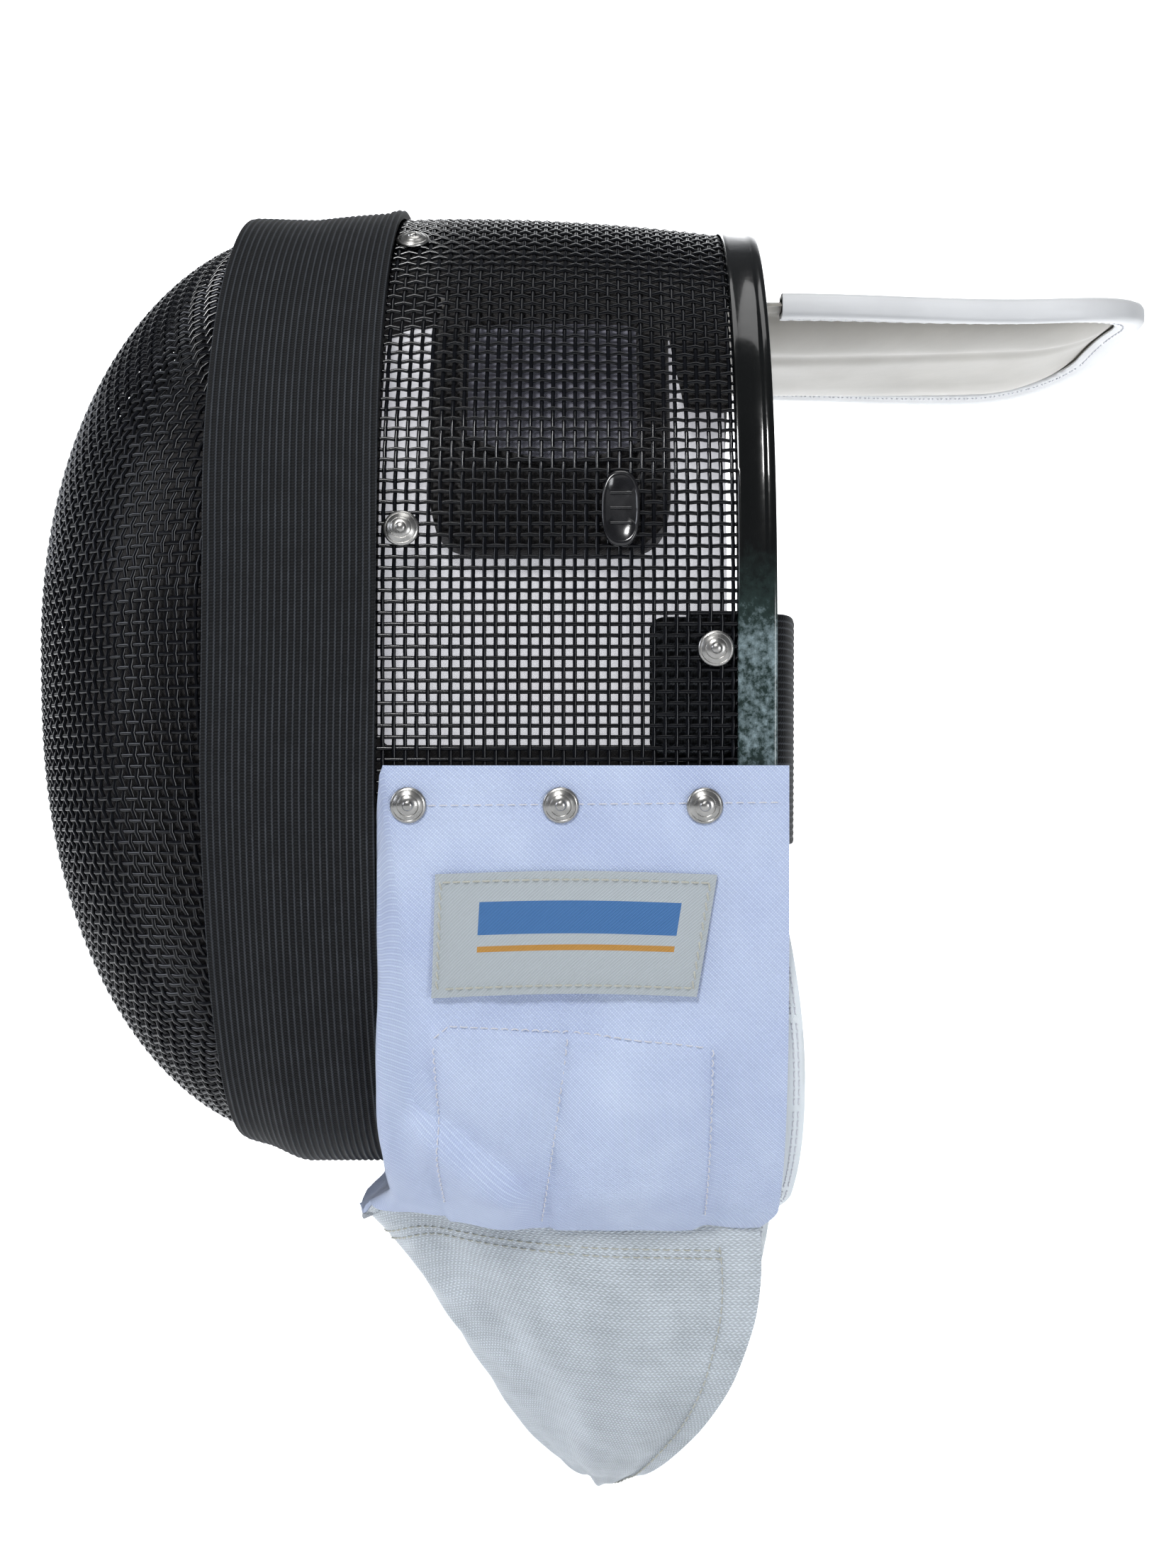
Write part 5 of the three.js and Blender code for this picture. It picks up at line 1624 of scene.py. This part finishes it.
def makeDomePaintedShade(sideName, side):
    shape = domePaintedShadeShape
    share = np.linspace(0, 1, 40)[:, None]
    fall = np.linspace(0, 1, 60)[None, :]
    y = lerp(form["jointY"] + shape["pastJoint"], shape["frontY"], share)
    y, level = np.broadcast_arrays(y, lerp(shape["top"], shape["foot"], fall))
    depth = np.maximum(0, form["jointY"] - y) / (domeDepth - shape["behind"])
    shrink = (1 - depth ** form["domePower"]) ** (1 / form["domePower"])
    mid = (shape["top"] + shape["foot"]) / 2
    level = mid + (level - mid) * (1 - shape["narrowing"] * smooth((form["jointY"] - y) / (70 * mm)))
    level = np.maximum(level, form["widest"] - shape["lowest"] * (chinDrop - shape["behind"]) * shrink)
    held = form["widest"] + (level - form["widest"]) / shrink
    faces = []
    for behind in (shape["behind"], shape["behind"] + shape["wall"]):
        x = side * halfWidthAt(held, np.maximum(y, form["jointY"]), -behind) * shrink
        faces.append(stack(x, y, level))
    piece = wall(f"dome_painted_shade_{sideName}", faces[0], faces[1], padCloth, False, 60)
    finishPiece(piece, "pad_cloth")


# Black trim sewn over the lining's lower edge
liningTrim = {
    "frontY": -58 * mm, "rearY": 39 * mm, "top": -116.5 * mm, "foot": -127 * mm, "behind": 7.3 * mm,
    "wall": 1.2 * mm,
}


def makeLiningTrim(sideName, side):
    shape = liningTrim
    outer = padOuter - shape["behind"]
    y = lerp(shape["frontY"], shape["rearY"], np.linspace(0, 1, 30)[:, None])
    y, level = np.broadcast_arrays(y, lerp(shape["top"], shape["foot"], np.linspace(0, 1, 9)[None, :]))
    angle = angleAt(level, y, outer)
    faces = [mirrorX(sectionPoint(angle, y, outer - deep), side) for deep in (0, shape["wall"])]
    piece = wall(f"lining_trim_{sideName}", faces[0], faces[1], padCloth, False, 60)
    finishPiece(piece, "pad_cloth")


# Painted shade: black cloth under the crown, between the mesh and the tongue, that keeps the view through the
# crown's mesh dark
crownPaintedShade = {
    "frontY": -84 * mm, "rearY": 40 * mm, "foot": 16 * mm, "behind": 2.55 * mm, "wall": 0.7 * mm,
    "cornerY": 22 * mm, "cornerFoot": -22 * mm, "flat": (0.125, 0.17),
}


def makeCrownPaintedShade(shape):
    y = np.linspace(shape["frontY"], shape["rearY"], 40)[:, None]
    foot = lerp(shape["foot"], shape["cornerFoot"], smooth((y - shape["cornerY"]) / (4 * mm)))
    reach = angleAt(foot, y, -shape["behind"])
    angle = reach * np.linspace(-1, 1, 90)[None, :]
    faces = [sectionPoint(angle, y, -shape["behind"] - deep) for deep in (0, shape["wall"])]
    piece = wall("crown_painted_shade", faces[0], faces[1], padCloth, False, 60)
    finishPiece(piece, "pad_cloth")


makeCrownPaintedShade(crownPaintedShade)
for sideName, side in (("left", 1), ("right", -1)):
    makeDomePaintedShade(sideName, side)
    makeLiningTrim(sideName, side)
    pad = makePanel("temple_padding", sideName, side)
    makePadFace(sideName, side)
    makePanel("lining", sideName, side)
    makePanel("strap_end", sideName, side)
makeStrap(strapShape)
print("padding and strap placed")


# Rivets keep their CAD seats and get a low ringed cap with a small nub

rivetShape = {
    "radius": 5 * mm, "dome": 2.4 * mm, "shank": 1.8 * mm, "washer": 3.6 * mm, "washerHeight": 1.1 * mm,
    "crownSink": 0.9 * mm, "sides": 36,
    "cap": [(0.985, 0.2), (0.93, 0.3), (0.86, 0.35), (0.83, 0.31), (0.8, 0.36), (0.6, 0.56), (0.57, 0.52),
            (0.54, 0.57), (0.36, 0.72), (0.3, 0.73), (0.27, 0.86), (0.2, 0.97), (0.0, 1.0)],
}


# The solid's points, its middle and its long or flat axis
def rivetSeat(node):
    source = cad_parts[node]
    points = np.unique(np.round([vertex.co[:] for vertex in source.data.vertices], 6), axis=0)
    centre = points.mean(axis=0)
    _, spread, axes = np.linalg.svd(points - centre)
    return points, centre, axes[0] if spread[0] - spread[1] > spread[1] - spread[2] else axes[2]


def makeRivet(node, axisGuess, sink=0.0):
    points, centre, axis = rivetSeat(node)
    axis = axis * np.sign(axis @ axisGuess)
    height = (points - centre) @ axis
    foot, top = height.min(), height.max()
    radial = points - centre - np.outer(height, axis)
    radius, washer, shank = rivetShape["radius"], rivetShape["washer"], rivetShape["shank"]
    wide = np.linalg.norm(radial, axis=1) > 0.96 * radius
    seat = height[wide].min() if wide.any() else top - rivetShape["dome"]
    shift = radial[wide].mean(axis=0) if wide.any() else np.zeros(3)
    base = centre + shift - axis * sink
    ledge, dome = foot + rivetShape["washerHeight"], top - seat
    profile = [(0, foot), (washer, foot), (washer, ledge), (shank, ledge), (shank, seat)]
    profile += [(radius * 0.96, seat), (radius, seat + 0.06 * dome)]
    profile += [(radius * share, seat + dome * rise) for share, rise in rivetShape["cap"]]
    side = np.cross(axis, [0.0, 1.0, 0.0])
    side /= np.linalg.norm(side)
    other = np.cross(axis, side)
    rings = []
    for turn in np.linspace(0, 2 * math.pi, rivetShape["sides"] + 1)[:-1]:
        outward = math.cos(turn) * side + math.sin(turn) * other
        rings.append([base + axis * level + out * outward for out, level in profile])
    piece = loft(f"{node}_cap", np.array(rings), True, nickel, 50)
    finishPiece(piece, "rivet_metal", node)


sideRivets = ("collar_rivet_front", "collar_rivet_middle", "collar_rivet_rear", "mesh_rivet", "tab_rivet")
for sideName, side in (("left", 1.0), ("right", -1.0)):
    for place in sideRivets:
        makeRivet(f"{place}_{sideName}", np.array([side, 0, 0]))
    makeRivet(f"crown_rivet_{sideName}", np.array([side * 0.5, 0, 1.0]), rivetShape["crownSink"])
print("rivets set")


# Size tag: a glossy oval with a raised rim and three plain bars. Each row of the section: share of the oval's
# half width, and height over the mesh in millimetres.

tagShape = {
    "section": [
        (0.0, 0.3), (0.97, 0.3), (1.0, 0.6), (1.0, 1.4), (0.96, 1.85), (0.9, 2.0), (0.84, 1.9), (0.8, 1.6),
        (0.4, 1.6), (0.0, 1.6),
    ],
    "square": 0.8, "barSpacing": 4.2 * mm, "barReach": 0.55, "barRadius": 0.42 * mm, "barHeight": 1.65 * mm,
}


def makeTag(shape):
    low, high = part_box("size_tag")
    centreY, centreZ = (low[1] + high[1]) / 2, (low[2] + high[2]) / 2
    halfY, halfZ = (high[1] - low[1]) / 2, (high[2] - low[2]) / 2
    rings = []
    for turn in np.linspace(0, 2 * math.pi, 65)[:-1]:
        acrossY = halfY * math.copysign(abs(math.cos(turn)) ** shape["square"], math.cos(turn))
        upZ = halfZ * math.copysign(abs(math.sin(turn)) ** shape["square"], math.sin(turn))
        ring = []
        for share, stand in shape["section"]:
            y, level = centreY + share * acrossY, centreZ + share * upZ
            ring.append([float(halfWidthAt(level, y, stand * mm)), y, level])
        rings.append(ring)
    piece = loft("oval_tag", np.array(rings), True, tagBlack, 50)
    finishPiece(piece, "tag_plastic", "size_tag")
    lines, ups = [], []
    for row in (-1, 0, 1):
        level = centreZ + row * shape["barSpacing"]
        ys = centreY + np.linspace(-1, 1, 6) * shape["barReach"] * halfY
        lines.append(stack(halfWidthAt(level, ys, shape["barHeight"]), ys, level))
        ups.append(np.tile([1.0, 0.0, 0.0], (6, 1)))
    finishPiece(bars("tag_bars", lines, ups, shape["barRadius"], 8, tagBlack), "tag_plastic")


makeTag(tagShape)
print("tag placed")


# Pale floor and soft studio light

studio = {
    "floorLevel": -0.42, "floorColor": (0.86, 0.87, 0.88), "backX": -2.2, "sweep": 0.9, "height": 4.0,
    "floorSize": 12, "world": (0.9, 0.93, 1.0), "worldStrength": 0.14, "aim": (0, 0, -0.12),
    "lights": [
        {"name": "key", "place": (1.9, -0.5, 1.5), "size": 0.45, "power": 33, "color": (1.0, 1.0, 1.0)},
        {"name": "front", "place": (0.5, -2.0, 0.7), "size": 0.8, "power": 11, "color": (0.86, 0.9, 1.0)},
        {"name": "fill", "place": (1.8, 1.3, 0.0), "size": 0.6, "power": 9, "color": (0.95, 0.97, 1.0)},
        {"name": "top", "place": (0.3, 0.1, 1.7), "size": 0.8, "power": 5, "color": (1.0, 1.0, 1.0)},
        {"name": "back", "place": (-0.7, 0.0, 1.2), "size": 2.2, "power": 95, "color": (1.0, 1.0, 1.0),
         "aim": (-2.2, 0, 0.3)},
    ],
}


def makeStudio(setup):
    reach, radius, back = setup["floorSize"], setup["sweep"], setup["backX"]
    profile = [(reach, 0)]
    for turn in np.linspace(0, math.pi / 2, 25):
        profile.append((back + radius - radius * math.sin(turn), radius - radius * math.cos(turn)))
    profile.append((back, setup["height"]))
    points = [(x, y, setup["floorLevel"] + z) for x, z in profile for y in (-reach, reach)]
    faces = [(2 * k, 2 * k + 1, 2 * k + 3, 2 * k + 2) for k in range(len(profile) - 1)]
    mesh = bpy.data.meshes.new("floor")
    mesh.from_pydata(points, [], faces)
    mesh.shade_smooth()
    tree = NodeTree("pale_floor")
    lighter = scaled(setup["floorColor"], 1.03)
    tree.color(tree.ramp(tree.noise(2, 2), [(0.2, setup["floorColor"]), (0.8, lighter)]))
    tree.set(roughness=0.7)
    mesh.materials.append(tree.material)
    floor = bpy.data.objects.new("floor", mesh)
    bpy.context.scene.collection.objects.link(floor)
    floor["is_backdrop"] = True
    world = bpy.data.worlds.new("studio")
    world.use_nodes = True
    world.node_tree.nodes["Background"].inputs[0].default_value = (*setup["world"], 1)
    world.node_tree.nodes["Background"].inputs[1].default_value = setup["worldStrength"]
    bpy.context.scene.world = world
    for light in setup["lights"]:
        data = bpy.data.lights.new(light["name"], "AREA")
        data.size = light["size"]
        data.energy = light["power"]
        data.color = light["color"]
        lamp = bpy.data.objects.new(light["name"], data)
        lamp.location = light["place"]
        towards = np.array(light.get("aim", setup["aim"])) - np.array(light["place"])
        yaw = math.atan2(towards[1], towards[0])
        pitch = math.atan2(math.hypot(towards[0], towards[1]), -towards[2])
        lamp.rotation_euler = (pitch, 0, yaw - math.pi / 2)
        lamp.visible_camera = False
        bpy.context.scene.collection.objects.link(lamp)


makeStudio(studio)
bpy.context.scene.view_settings.view_transform = "Standard"
print("studio lit")

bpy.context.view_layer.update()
triangles = sum(len(p.vertices) - 2 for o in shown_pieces() if o.type == "MESH" for p in o.data.polygons)
print("triangles", triangles)
